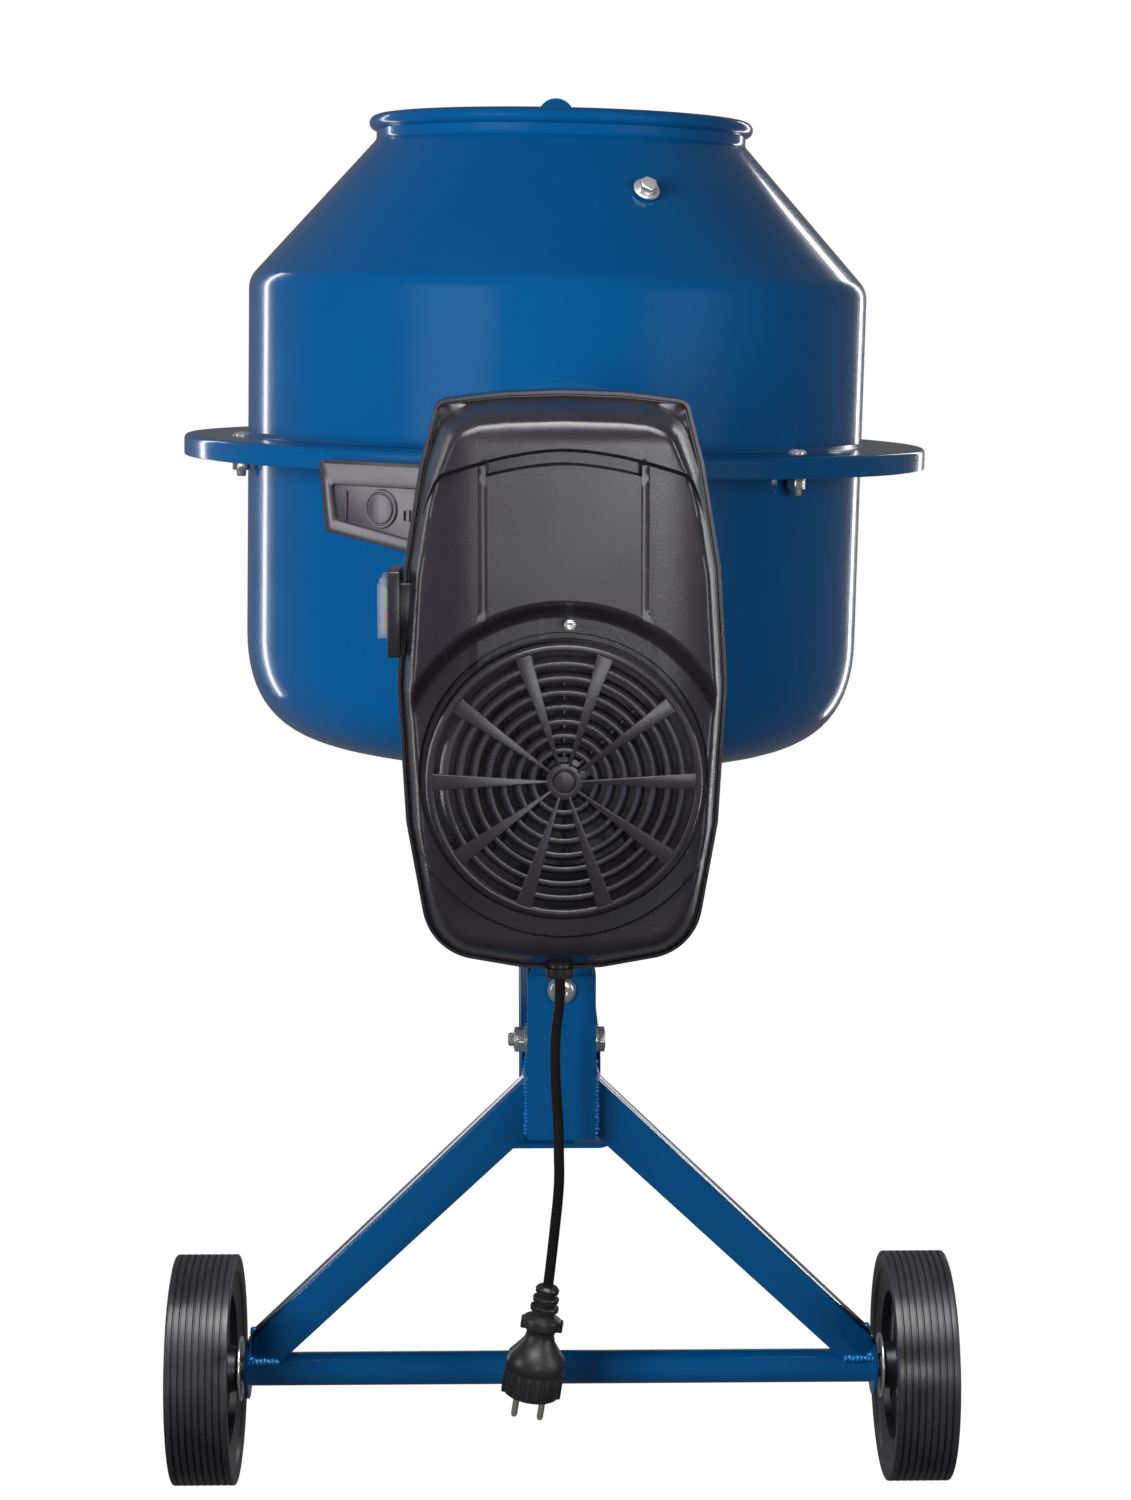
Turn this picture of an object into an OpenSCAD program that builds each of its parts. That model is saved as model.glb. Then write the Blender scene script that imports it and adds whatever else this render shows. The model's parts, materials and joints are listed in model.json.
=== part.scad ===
// Tilting-drum concrete mixer: motor side towards -Y, wheels and one rear foot on the floor at Z = 0.
// The drum turns on the yoke, and the yoke tilts about a level axis along Y.

/* [Drum] */
// Outer radius of the drum's straight wall
drum_r = 258; // [250:1:262]
// Outer radius of the mouth's rolled rim
rim_r = 159.5; // [150:0.5:170]
// Height of the mouth's rim centre
rim_z = 1023; // [1000:1:1040]
// Height of the edge between cone and straight wall
shoulder_z = 896; // [880:1:910]
// Height of the drum's flat bottom
drum_z = 508; // [504:1:515]
// Outer radius of the gear ring's cover
cover_r = 311; // [309:0.5:312]
// Top of the gear ring's cover
cover_z = 765; // [762:0.5:768]
// Thickness of the drum's sheet metal
sheet = 2.5; // [2:0.5:4]

/* [Tilt] */
// Height of the tilt axis
tilt_z = 719; // [717:1:721]
// Lean of the yoke and drum as parked, in degrees
tilt_rest = 1.2; // [0:0.1:3]
// Length of the tilt lever above the tilt axis
lever_len = 354; // [250:1:400]

/* [Drive] */
// Teeth on the gear ring
ring_teeth = 116; // [116:4:116]
// Teeth on the pinion
pinion_teeth = 12; // [12:1:12]
// Gear module
gear_m = 5; // [5:1:5]
// Height of the motor's axis
motor_z = 552; // [545:1:560]
// Outer radius of the large belt pulley
pulley_r = 80; // [70:1:82]

/* [Stand] */
// Outer radius of the tyres
wheel_r = 85; // [80:1:90]
// Width of the wheels
wheel_w = 46; // [40:1:50]
// Distance from the middle to a wheel's inner face
track_in = 243; // [240:1:250]
// Radius of the axle tube
axle_r = 12.5; // [12:0.5:14]

/* [Hidden] */
$fn = 64;
run = 0.05;             // radial clearance of a running fit
y_shift = -24;          // drum axis, measured from the middle of the footprint
pinion_y = -290;        // middle of the pinion's face
pinion_r = gear_m * pinion_teeth / 2;
pitch_z = tilt_z + pinion_r;
ring_pitch_r = gear_m * ring_teeth / 2;
arm_in = 319;           // inner face of the yoke's arms
arm_out = 347;
post_y = -375;          // middle of the front post and of the axle
case_back = -400;       // rear face of the motor housing
case_front = -505;
switch_x = -113;        // seat of the switch in the housing's side
grille_r = 95;
corner_r = 92;          // radius between the drum's wall and bottom
bolt_circle = 267;      // radius of the gear ring's bolt circle
spin_r = 15;            // radius of the drum spindle
trunnion_r = 17;
shaft_r = 10;
lock_reach = 56;        // lock pin, measured from the tilt axis
lean = 12;              // lean of the far leg, in degrees
blue = [0.0, 0.33, 0.58];
black = [0.12, 0.12, 0.13];
zinc = [0.75, 0.76, 0.78];
steel = [0.6, 0.61, 0.63];

// Middle of the cord, from the gland down to the plug
cord_route = [[-2, -438, 399.5], [-1.9, -438, 389.5], [-2.7, -437, 375.5], [-4.6, -436, 360.5],
    [-5.4, -436, 345.5], [-5.2, -435, 327.5], [-4, -434, 305.5], [-2.8, -434, 285.5],
    [-2.6, -434, 267.5], [-2.4, -434, 250.5], [-3.2, -434, 235.5], [-5, -434, 217.5],
    [-6.8, -434, 200.5], [-8.7, -434, 183.5], [-10.5, -434, 168.5]];
cord_r = 3.8;
plug_lean = 9;

// --- helpers -------------------------------------------------------------------------------

module place() translate([0, y_shift, 0]) children();

// Puts a piece on the yoke, which leans about the tilt axis
module leaning() place() translate([0, 0, tilt_z]) rotate([0, tilt_rest, 0])
    translate([0, 0, -tilt_z]) children();

module rod_y(r, y0, y1, x = 0, z = 0, n = 64) translate([x, y0, z]) rotate([-90, 0, 0])
    cylinder(r = r, h = y1 - y0, $fn = n);

module rod_x(r, x0, x1, y = 0, z = 0, n = 64) translate([x0, y, z]) rotate([0, 90, 0])
    cylinder(r = r, h = x1 - x0, $fn = n);

module ring_y(r, bore, y0, y1, x = 0, z = 0) difference() {
    rod_y(r, y0, y1, x, z);
    rod_y(bore, y0 - 1, y1 + 1, x, z);
}

module hex(af, h) cylinder(r = af / sqrt(3), h = h, $fn = 6);

module block(x0, x1, y0, y1, z0, z1) translate([x0, y0, z0]) cube([x1 - x0, y1 - y0, z1 - z0]);

// Square tube standing on z0, with wall t
module square_tube(x, y, w, t, z0, z1) difference() {
    block(x - w / 2, x + w / 2, y - w / 2, y + w / 2, z0, z1);
    block(x - w / 2 + t, x + w / 2 - t, y - w / 2 + t, y + w / 2 - t, z0 - 1, z1 + 1);
}

// --- stand ---------------------------------------------------------------------------------

module axle_tube() color(blue) place() difference() {
    union() {
        rod_x(axle_r, -track_in + 5, track_in - 5, post_y, wheel_r);
        for (s = [-1, 1]) translate([s * (track_in - 8) - 1.5, 0, 0])
            rod_x(22, 0, 3, post_y, wheel_r);
    }
    rod_x(9, -track_in, track_in, post_y, wheel_r);
}

module axle_rod() color(steel) place()
    rod_x(9, -track_in - wheel_w - 4, track_in + wheel_w + 4, post_y, wheel_r);

// Plain washers inside, push-on caps outside
module axle_washers() color(zinc) place() for (s = [-1, 1]) {
    difference() {
        translate([s * (track_in - 2.5) - 1, 0, 0]) rod_x(24, 0, 2, post_y, wheel_r);
        rod_x(9, -400, 400, post_y, wheel_r);
    }
    difference() {
        translate([s * (track_in + wheel_w + 3.2) - 2, 0, 0]) rod_x(15, 0, 4, post_y, wheel_r);
        rod_x(9, -400, 400, post_y, wheel_r);
    }
}

// Flat-sided brace from the post's foot to the end of the axle tube
module strut(s) color(blue) place() difference() {
    translate([0, post_y + 12.5, 0]) rotate([90, 0, 0]) linear_extrude(25)
        polygon([[s * 25, 312], [s * 25, 268], [s * 212, 92], [s * 232, 92], [s * 232, 112]]);
    rod_x(axle_r, -400, 400, post_y, wheel_r);
}
module left_strut() strut(-1);
module right_strut() strut(1);

module bolt_holes() {
    rod_y(4, post_y - 40, post_y + 40, 0, 381, 32);
    rod_x(5, -40, 40, post_y, 338, 32);
}

module front_post() color(blue) place() difference() {
    square_tube(0, post_y, 50, 2.5, 268, 392);
    bolt_holes();
}

module upright_tube() color(blue) place() difference() {
    union() {
        square_tube(0, post_y, 44.8, 2.5, 300, tilt_z - 18);
        block(-45, 45, case_back, post_y - 22.4, 470, 680);
    }
    rod_y(24, post_y - 40, post_y + 40, 0, tilt_z);
    bolt_holes();
}

module near_bearing() color(blue) place() ring_y(24, trunnion_r + run, -398, -352, 0, tilt_z);

module far_bearing() color(blue) place() ring_y(24, trunnion_r + run, 362, 402, 0, tilt_z);

// Upper end of the far leg, in the leg's own leaning frame
module leg_space() translate([0, 362, 750]) rotate([lean, 0, 0]) children();

module cross_beam() color(blue) place() difference() {
    block(-30, 30, post_y + 25, 470, 292, 328);
    block(-28, 28, post_y + 20, 480, 294, 326);
    leg_space() block(-60, 60, 0, 200, -900, 50);
}

module far_leg() color(blue) place() difference() {
    leg_space() difference() {
        block(-30, 30, 0, 36, -780, 0);
        block(-27, 27, 3, 40, -800, 3);
    }
    block(-100, 100, 300, 700, -100, 5);
    rod_y(24, 340, 460, 0, tilt_z);
}

// Flat foot with its near corners cut off
module foot_plate() color(blue) place() linear_extrude(5)
    polygon([[-57, 499], [57, 499], [67, 509], [67, 559], [-67, 559], [-67, 509]]);

// Fixed disc with a ring of holes that the lock pin drops into
module lock_plate() color(blue) place() difference() {
    ring_y(70, trunnion_r + 3, 356, 362, 0, tilt_z);
    for (a = [0 : 30 : 330]) translate([0, 0, tilt_z]) rotate([0, a + tilt_rest, 0])
        rod_y(5.6, 350, 370, 0, lock_reach, 32);
}

module post_bolts() color(zinc) place() {
    rod_y(4, post_y - 26, post_y + 36, 0, 381, 32);
    translate([0, post_y - 25, 381]) rotate([90, 0, 0]) intersection() {
        cylinder(r = 9.2, h = 5);
        translate([0, 0, -6.5]) sphere(r = 11.2);
    }
    translate([0, post_y + 25, 381]) rotate([-90, 0, 0]) hex(13, 7);
    rod_x(5, -41, 30, post_y, 338, 32);
    translate([25, post_y, 338]) rotate([0, 90, 0]) hex(17, 7);
    translate([-33, post_y, 338]) rotate([0, 90, 0]) hex(17, 8);
}

// --- motor housing -------------------------------------------------------------------------

// Outline of the housing, seen from the front, drawn inwards by inset
module case_outline(inset = 0) offset(delta = -inset) hull() {
    for (s = [-1, 1], c = [[0, 806.7, 10], [40, 805.4, 10], [64, 803, 10], [80.5, 801, 9.5],
        [86.5, 760, 14], [98, 690, 14], [103, 610, 14], [97.5, 512, 14], [58, 454, 43],
        [27, 415, 10], [0, 414, 10]])
        translate([s * c[0], c[1]]) circle(c[2], $fn = 48);
}

module case_slab(y0, y1, inset = 0) translate([0, y1, 0]) rotate([90, 0, 0])
    linear_extrude(y1 - y0) case_outline(inset);

// Seat and opening in the housing's side for the switch
module switch_cut() {
    block(-130, -90, -453, -417, 643, 683);
    block(-130, switch_x, -462, -408, 632, 692);
}

module rear_tray() color(black) place() difference() {
    case_slab(-425, case_back);
    case_slab(-430, case_back - 2.5, 2.5);
    rod_y(26, -430, -380, 0, tilt_z);
    switch_cut();
}

module front_cover() color(black) place() difference() {
    hull() {
        case_slab(-440, -425);
        case_slab(case_front, case_front + 1, 15);
    }
    hull() {
        case_slab(-439, -420, 3);
        case_slab(case_front + 3, case_front + 4, 18);
    }
    rod_y(grille_r + 0.3, -520, -490, 0, motor_z);
    rod_y(2.6, -520, -490, 4, 659, 32);
    translate([-2, -438, 380]) cylinder(r = 8, h = 30, $fn = 32);
    switch_cut();
}

// Round grille: rings of slots between ten spokes
module fan_grille() color(black) place() difference() {
    rod_y(grille_r, -511, -503, 0, motor_z);
    rod_y(grille_r - 3, -507, -500, 0, motor_z);
    difference() {
        for (i = [0 : 7]) ring_y(17 + 9.4 * i + 5.8, 17 + 9.4 * i, -520, -500, 0, motor_z);
        for (a = [0 : 36 : 359]) translate([0, -520, motor_z]) rotate([0, a, 0])
            block(0, 100, 0, 30, -3, 3);
    }
}

module cover_screws() color(zinc) place() {
    rod_y(4.3, -508, -505.1, 4, 659, 32);
    rod_y(2.5, -505.2, -470, 4, 659, 32);
}

module motor_plate() color(steel) place() {
    difference() {
        block(-90, 90, -438, -435, 470, 772);
        rod_y(20.2, -440, -430, 0, motor_z);
        rod_y(shaft_r + run, -440, -430, 0, tilt_z);
        for (x = [-82, 82], z = [505, 762]) rod_y(4, -440, -430, x, z, 32);
    }
    for (x = [-82, 82], z = [505, 762]) ring_y(7, 4, -435, case_back - 2.5, x, z);
}

module motor_case() color(zinc) place() difference() {
    union() {
        rod_y(62, -488, -438.1, 0, motor_z);
        block(-70, 70, -442, -438.1, motor_z - 20, motor_z + 20);
    }
    rod_y(56, -484, -442, 0, motor_z);
    rod_y(8 + run, -500, -430, 0, motor_z);
}

module run_capacitor() color([0.85, 0.85, 0.82]) place()
    rod_x(15, -40, 40, -453, 660);

module drive_belt() color(black) place() {
    belt_y0 = -426;
    belt_y1 = -414;
    translate([0, belt_y1, 0]) rotate([90, 0, 0]) linear_extrude(belt_y1 - belt_y0) difference() {
        hull() {
            translate([0, tilt_z]) circle(pulley_r + 3.3, $fn = 96);
            translate([0, motor_z]) circle(13.3, $fn = 48);
        }
        hull() {
            translate([0, tilt_z]) circle(pulley_r + 0.3, $fn = 96);
            translate([0, motor_z]) circle(10.3, $fn = 48);
        }
    }
}

module switch_plate() color(black) place() difference() {
    block(switch_x - 9, switch_x, -462, -408, 632, 692);
    block(switch_x - 20, switch_x + 20, -453, -417, 643, 683);
}

module switch_body() color(black) place() difference() {
    block(switch_x - 7, switch_x + 13, -453, -417, 643, 683);
    for (z = [647.6, 664.4]) block(switch_x - 8, switch_x + 3, -448, -422, z, z + 16);
}

// Clear flap, hinged along its upper edge
module switch_flap() color([0.8, 0.83, 0.85, 0.5]) place() difference() {
    union() {
        block(switch_x - 16, switch_x - 9.3, -456, -414, 645, 683);
        rod_y(2.5, -456, -414, switch_x - 12, 685, 32);
    }
    block(switch_x - 14.5, switch_x - 9, -454, -416, 647, 681);
}

module button(z) place() block(switch_x - 11.5, switch_x, -447.7, -422.3, z, z + 15.4);
module on_button() color([0.1, 0.6, 0.25]) button(664.7);
module off_button() color([0.75, 0.1, 0.1]) button(647.9);

module cable_gland() color(black) place() difference() {
    union() {
        translate([-2, -438, 399.5]) cylinder(r = 8, h = 18, $fn = 32);
        translate([-2, -438, 399.5]) cylinder(r = 11, h = 4.5, $fn = 32);
        translate([-2, -438, 410]) hex(19, 7);
    }
    translate([-2, -438, 380]) cylinder(r = cord_r, h = 40, $fn = 32);
}

// --- cord ----------------------------------------------------------------------------------

function blend_point(p0, p1, p2, p3, t) = 0.5 * (2 * p1 + (p2 - p0) * t
    + (2 * p0 - 5 * p1 + 4 * p2 - p3) * t * t + (3 * p1 - p0 - 3 * p2 + p3) * t * t * t);
function at(pts, i) = pts[max(0, min(len(pts) - 1, i))];
function smooth(pts) = [for (i = [0 : len(pts) - 2], t = [0 : 0.5 : 0.5])
    blend_point(at(pts, i - 1), pts[i], pts[i + 1], at(pts, i + 2), t), pts[len(pts) - 1]];

module power_cord() color(black) place() {
    path = smooth(cord_route);
    sides = 10;
    rings = len(path);
    points = [for (p = path, k = [0 : sides - 1])
        p + cord_r * [cos(360 * k / sides), sin(360 * k / sides), 0]];
    walls = [for (i = [0 : rings - 2], k = [0 : sides - 1])
        [i * sides + k, i * sides + (k + 1) % sides, (i + 1) * sides + (k + 1) % sides,
         (i + 1) * sides + k]];
    top = [for (k = [sides - 1 : -1 : 0]) k];
    bottom = [for (k = [0 : sides - 1]) (rings - 1) * sides + k];
    polyhedron(points, concat([top, bottom], walls));
}

// The plug's own frame: origin where the cord enters, running down along -Z
module plug_space() place() translate([-10.5, -434, 168.5]) rotate([0, plug_lean, 0]) children();

module plug_body() color(black) plug_space() {
    translate([0, 0, -22]) cylinder(r1 = 11, r2 = 8, h = 22, $fn = 32);
    translate([0, 0, -34]) cylinder(r = 13, h = 12, $fn = 32);
    translate([0, 0, -62]) cylinder(r1 = 22, r2 = 13, h = 28, $fn = 48);
    translate([0, 0, -84]) cylinder(r = 21, h = 22, $fn = 48);
}

module plug_pins() color(zinc) plug_space() for (s = [-1, 1])
    translate([s * 9.5, 0, -102]) cylinder(r = 2.4, h = 18, $fn = 24);

// --- yoke ----------------------------------------------------------------------------------

module yoke_frame() color(blue) leaning() difference() {
    union() {
        for (s = [-1, 1]) difference() {
            block(-25, 25, min(s * arm_in, s * arm_out), max(s * arm_in, s * arm_out),
                440, tilt_z);
            block(-22.5, 22.5, min(s * (arm_in + 2.5), s * (arm_out - 2.5)),
                max(s * (arm_in + 2.5), s * (arm_out - 2.5)), 480, tilt_z - 27);
        }
        for (s = [-1, 1]) rod_y(25, min(s * arm_in, s * arm_out), max(s * arm_in, s * arm_out),
            0, tilt_z);
        difference() {
            block(-25, 25, -arm_in, arm_in, 440, 475);
            for (s = [-1, 1]) block(-22.5, 22.5, min(s * 30, s * arm_in),
                max(s * 30, s * arm_in), 442.5, 472.5);
        }
    }
    rod_y(trunnion_r, -400, 400, 0, tilt_z);
    translate([0, 0, 430]) cylinder(r = spin_r, h = 60);
}

module near_trunnion() color(steel) leaning()
    ring_y(trunnion_r, shaft_r + run, -399, -arm_in, 0, tilt_z);

module far_trunnion() color(steel) leaning() rod_y(trunnion_r, arm_in, 408, 0, tilt_z);

module drum_spindle() color(steel) leaning() {
    translate([0, 0, 440]) cylinder(r = spin_r, h = 118);
}

module tilt_lever() color(blue) leaning() difference() {
    union() {
        block(-17.5, 17.5, arm_out, arm_out + 6, tilt_z - 40, tilt_z + lever_len - 17.5);
        rod_y(17.5, arm_out, arm_out + 6, 0, tilt_z + lever_len - 17.5);
        rod_y(28, arm_out, arm_out + 6, 0, tilt_z);
    }
    rod_y(trunnion_r, 340, 360, 0, tilt_z);
    rod_y(5 + run, 340, 360, 0, tilt_z + lock_reach, 32);
}

// Sleeve on the lever that guides the lock pin
module pin_guide() color(blue) leaning() ring_y(9, 5 + run, 323, arm_out, 0, tilt_z + lock_reach);

// Spring-loaded pin with a round pull, parked just clear of the lock plate
module lock_pin() color(zinc) leaning() {
    rod_y(5, 317, 355.5, 0, tilt_z + lock_reach);
    rod_y(8, 313, 317, 0, tilt_z + lock_reach);
}

// Cover outside the ring, over the place where the pinion meets it
module gear_guard() color(black) leaning() {
    rotate([0, 0, -33]) difference() {
        translate([0, -316, 0]) rotate([90, 0, 0]) linear_extrude(13)
            polygon([[-3, 757], [112, 757], [112, 690], [92, 690], [4, 703]]);
        translate([0, -327, 0]) rotate([90, 0, 0]) linear_extrude(5)
            polygon([[10, 741], [108, 741], [108, 701], [92, 701], [14, 713]]);
    }
    block(-88, -25, -336, -328, 690, 730);
}

// --- drive ---------------------------------------------------------------------------------

module drive_shaft() color(steel) leaning() rod_y(shaft_r, -440, -272, 0, tilt_z);

// Straight-toothed spur gear outline, tooth tips 1 m out and roots 1.25 m in
module spur_outline(teeth, m) {
    r = teeth * m / 2;
    step = 360 / teeth;
    polygon([for (i = [0 : teeth - 1], k = [[-0.36, -1.25], [-0.25, -0.1], [-0.11, 0.9],
        [0.11, 0.9], [0.25, -0.1], [0.36, -1.25]])
        let (a = (i + 0.94 * k[0]) * step, rr = r + m * k[1]) [rr * cos(a), rr * sin(a)]]);
}

module pinion() color(steel) leaning() translate([0, pinion_y + 13, tilt_z]) rotate([90, 0, 0])
    difference() {
        rotate([0, 0, 90]) linear_extrude(26) spur_outline(pinion_teeth, gear_m);
        translate([0, 0, -1]) cylinder(r = shaft_r, h = 40);
    }

module drive_pulley() color(zinc) leaning() difference() {
    rod_y(pulley_r, -427, -413, 0, tilt_z);
    for (s = [0, 1]) rod_y(pulley_r - 8, s ? -428 : -417, s ? -423 : -412, 0, tilt_z);
    rod_y(shaft_r, -430, -410, 0, tilt_z);
}

module motor_shaft() color(steel) place() rod_y(8, -502, -411, 0, motor_z);

module motor_pulley() color(zinc) place() ring_y(10, 8, -428, -412, 0, motor_z);

module cooling_fan() color(black) place() {
    ring_y(16, 8, -499.5, -490.5, 0, motor_z);
    for (a = [0 : 45 : 315]) translate([0, -499, motor_z]) rotate([0, a, 0])
        block(12, 70, 0, 8, -1, 1);
}

// --- drum ----------------------------------------------------------------------------------

function arc_points(cx, cz, r, a0, a1, n) = [for (i = [0 : n])
    [cx + r * cos(a0 + (a1 - a0) * i / n), cz + r * sin(a0 + (a1 - a0) * i / n)]];

module drum_pan() color(blue) leaning() difference() {
    rotate_extrude($fn = 96) polygon(concat(
        [[0, drum_z]], arc_points(drum_r - corner_r, drum_z + corner_r, corner_r, -90, 0, 12),
        [[drum_r, cover_z - 1 - 3], [drum_r - sheet, cover_z - 4]],
        arc_points(drum_r - corner_r, drum_z + corner_r, corner_r - sheet, 0, -90, 12),
        [[0, drum_z + sheet]]));
    translate([0, 0, drum_z - 5]) cylinder(r = 30, h = 20);
    hub_bolt_places() cylinder(r = 4, h = 60, $fn = 32);
    for (s = [0, 180]) rotate([0, 0, blade_turn + s]) wall_bolt_place()
        cylinder(r = 4, h = 60, $fn = 32);
}

module drum_cone() color(blue) leaning() difference() {
    rotate_extrude($fn = 96) union() {
        polygon([[drum_r, cover_z - 4], [drum_r, shoulder_z - 8], [drum_r - 4, shoulder_z + 2],
            [rim_r - 6, rim_z - 8], [rim_r - 6, rim_z], [rim_r - 8.5, rim_z],
            [rim_r - 8.5, rim_z - 8], [drum_r - 6.5, shoulder_z + 1],
            [drum_r - sheet, shoulder_z - 8], [drum_r - sheet, cover_z - 4]]);
        translate([rim_r - 6, rim_z]) circle(6, $fn = 32);
    }
    for (s = [0, 180]) rotate([0, 0, blade_turn + s]) cone_bolt_place() translate([0, 0, -20])
        cylinder(r = 4, h = 40, $fn = 32);
}

// One cast half of the gear ring, teeth pointing down, three bolt holes
module gear_half() {
    half_teeth = ring_teeth / 2;
    step = 360 / ring_teeth;
    difference() {
        translate([0, 0, pitch_z + 5]) rotate_extrude(start = 0.2, angle = 179.6, $fn = 96)
            polygon([[drum_r + 4, 0], [303, 0], [303, 8.4], [drum_r + 4, 8.4]]);
        for (a = [30 : 60 : 150]) rotate([0, 0, a]) translate([bolt_circle, 0, pitch_z])
            cylinder(r = 4, h = 30, $fn = 32);
    }
    for (i = [0 : half_teeth - 1]) rotate([0, 0, (i + 0.5) * step])
        translate([279, 0, pitch_z + 5]) rotate([90, 0, 90]) linear_extrude(22)
            polygon([[-5.2, 0.01], [-3.4, -5], [-2.6, -6.3], [2.6, -6.3], [3.4, -5], [5.2, 0.01]]);
}

// The ring has a gap between two teeth over the pinion, at -Y
ring_turn = -90 + 24 * 360 / ring_teeth;

module gear_segments() color(steel) leaning() for (s = [0, 180]) rotate([0, 0, ring_turn + s])
    gear_half();

module gear_cover() color(blue) leaning() difference() {
    rotate_extrude($fn = 96) polygon([[drum_r, cover_z - 2.5], [cover_r - 2.5, cover_z - 2.5],
        [cover_r - 2.5, cover_z - 17], [cover_r, cover_z - 17], [cover_r, cover_z - 4],
        [cover_r - 3, cover_z], [drum_r, cover_z]]);
    for (a = [30 : 60 : 330]) rotate([0, 0, ring_turn + a]) translate([bolt_circle, 0, cover_z - 10])
        cylinder(r = 4, h = 30, $fn = 32);
}

// Button-head screws from above, flange nuts below the gear ring
module ring_bolts() color(zinc) leaning() for (a = [30 : 60 : 330]) rotate([0, 0, ring_turn + a])
    translate([bolt_circle, 0, 0]) {
        translate([0, 0, pitch_z - 17]) cylinder(r = 4, h = cover_z - pitch_z + 17, $fn = 32);
        translate([0, 0, cover_z]) cylinder(r1 = 7, r2 = 4.5, h = 3, $fn = 32);
        translate([0, 0, pitch_z - 4]) cylinder(r = 8, h = 9, $fn = 32);
        translate([0, 0, pitch_z - 12]) hex(13, 8.5);
    }

// A blade's upper bolt stands square to the cone, its lower bolt square to the wall
blade_turn = -71;
cone_slope = 49.3;
module cone_bolt_place() translate([196.4, 0, 965]) rotate([0, cone_slope, 0]) children();
module wall_bolt_place() translate([drum_r - 25, 0, 645]) rotate([0, 90, 0]) children();

// Paddle that follows the wall and the cone, with a bolted foot against each
module blade() difference() {
    union() {
        translate([0, 17, 0]) rotate([90, 0, 0]) linear_extrude(5) polygon([[122, 944], [200, 950],
            [204, 945], [243, 896], [250, 880], [250, 630], [184, 630]]);
        cone_bolt_place() block(-16, 16, -14, 17, -8.5, -3.6);
        block(245, 251, -14, 16.9, 626, 666);
    }
    cone_bolt_place() translate([0, 0, -20]) cylinder(r = 4, h = 40, $fn = 32);
    wall_bolt_place() cylinder(r = 4, h = 60, $fn = 32);
}

module left_blade() color(blue) leaning() rotate([0, 0, blade_turn + 180]) blade();
module right_blade() color(blue) leaning() rotate([0, 0, blade_turn]) blade();

module blade_bolts() color(zinc) leaning() for (s = [0, 180]) rotate([0, 0, blade_turn + s]) {
    cone_bolt_place() {
        translate([0, 0, -17]) cylinder(r = 4, h = 27, $fn = 32);
        translate([0, 0, 0.4]) cylinder(r = 10, h = 1.6, $fn = 32);
        translate([0, 0, 2]) hex(13, 6.5);
        translate([0, 0, -15.5]) hex(13, 7);
    }
    wall_bolt_place() {
        translate([0, 0, 4]) cylinder(r = 4, h = 28, $fn = 32);
        translate([0, 0, 25.2]) hex(13, 5);
        translate([0, 0, 6.9]) hex(13, 5);
    }
}

module hub_bolt_places() for (a = [45 : 90 : 315]) rotate([0, 0, a])
    translate([42, 0, drum_z - 30]) children();

module drum_hub() color(steel) leaning() difference() {
    union() {
        translate([0, 0, drum_z - 14]) cylinder(r = 55, h = 14);
        translate([0, 0, drum_z - 26]) cylinder(r = 28, h = 80);
    }
    translate([0, 0, drum_z - 40]) cylinder(r = spin_r + run, h = 92);
    hub_bolt_places() cylinder(r = 4, h = 60, $fn = 32);
}

module hub_bolts() color(zinc) leaning() hub_bolt_places() {
    translate([0, 0, 11]) cylinder(r = 4, h = 29, $fn = 32);
    translate([0, 0, 11]) hex(13, 5);
    translate([0, 0, 30 + sheet]) hex(13, 6);
}

// --- wheels --------------------------------------------------------------------------------

module ring_x(r, bore, x0, x1) difference() {
    rod_x(r, x0, x1);
    rod_x(bore, x0 - 1, x1 + 1);
}

module wheel_place(s) place() translate([s * (track_in + wheel_w / 2), post_y, wheel_r]) children();

module wheel() {
    ring_x(19, 9 + run, -wheel_w / 2, wheel_w / 2);
    ring_x(62, 55, -18, 18);
    ring_x(56, 18.5, -3, 3);
    for (a = [0 : 45 : 315]) rotate([a, 0, 0]) block(-12, 12, -2, 2, 18.5, 56);
}

module tyre() rotate([0, 90, 0]) rotate_extrude($fn = 128) polygon([[62, -18], [72, -20.5],
    [80, -wheel_w / 2], [wheel_r - 2, -wheel_w / 2], [wheel_r, -wheel_w / 2 + 2],
    [wheel_r, wheel_w / 2 - 2], [wheel_r - 2, wheel_w / 2], [80, wheel_w / 2], [72, 20.5], [62, 18]]);

module left_wheel() color(black) wheel_place(-1) wheel();
module left_tyre() color(black) wheel_place(-1) tyre();
module right_wheel() color(black) wheel_place(1) wheel();
module right_tyre() color(black) wheel_place(1) tyre();

axle_tube();
axle_rod();
axle_washers();
left_strut();
right_strut();
front_post();
upright_tube();
near_bearing();
cross_beam();
far_leg();
foot_plate();
far_bearing();
lock_plate();
post_bolts();
motor_plate();
motor_case();
run_capacitor();
rear_tray();
front_cover();
fan_grille();
cover_screws();
switch_plate();
switch_body();
drive_belt();
cable_gland();
power_cord();
plug_body();
plug_pins();
yoke_frame();
near_trunnion();
far_trunnion();
drum_spindle();
tilt_lever();
gear_guard();
pin_guide();
lock_pin();
drive_shaft();
pinion();
drive_pulley();
motor_shaft();
motor_pulley();
cooling_fan();
drum_pan();
drum_cone();
gear_segments();
gear_cover();
left_blade();
right_blade();
blade_bolts();
ring_bolts();
drum_hub();
hub_bolts();
left_wheel();
left_tyre();
right_wheel();
right_tyre();
switch_flap();
on_button();
off_button();
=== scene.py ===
"""Looks of a tilting-drum concrete mixer, built around its fixed CAD frame.

Metres, +Z up, -Y towards the motor side.
"""

import json
import math

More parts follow.
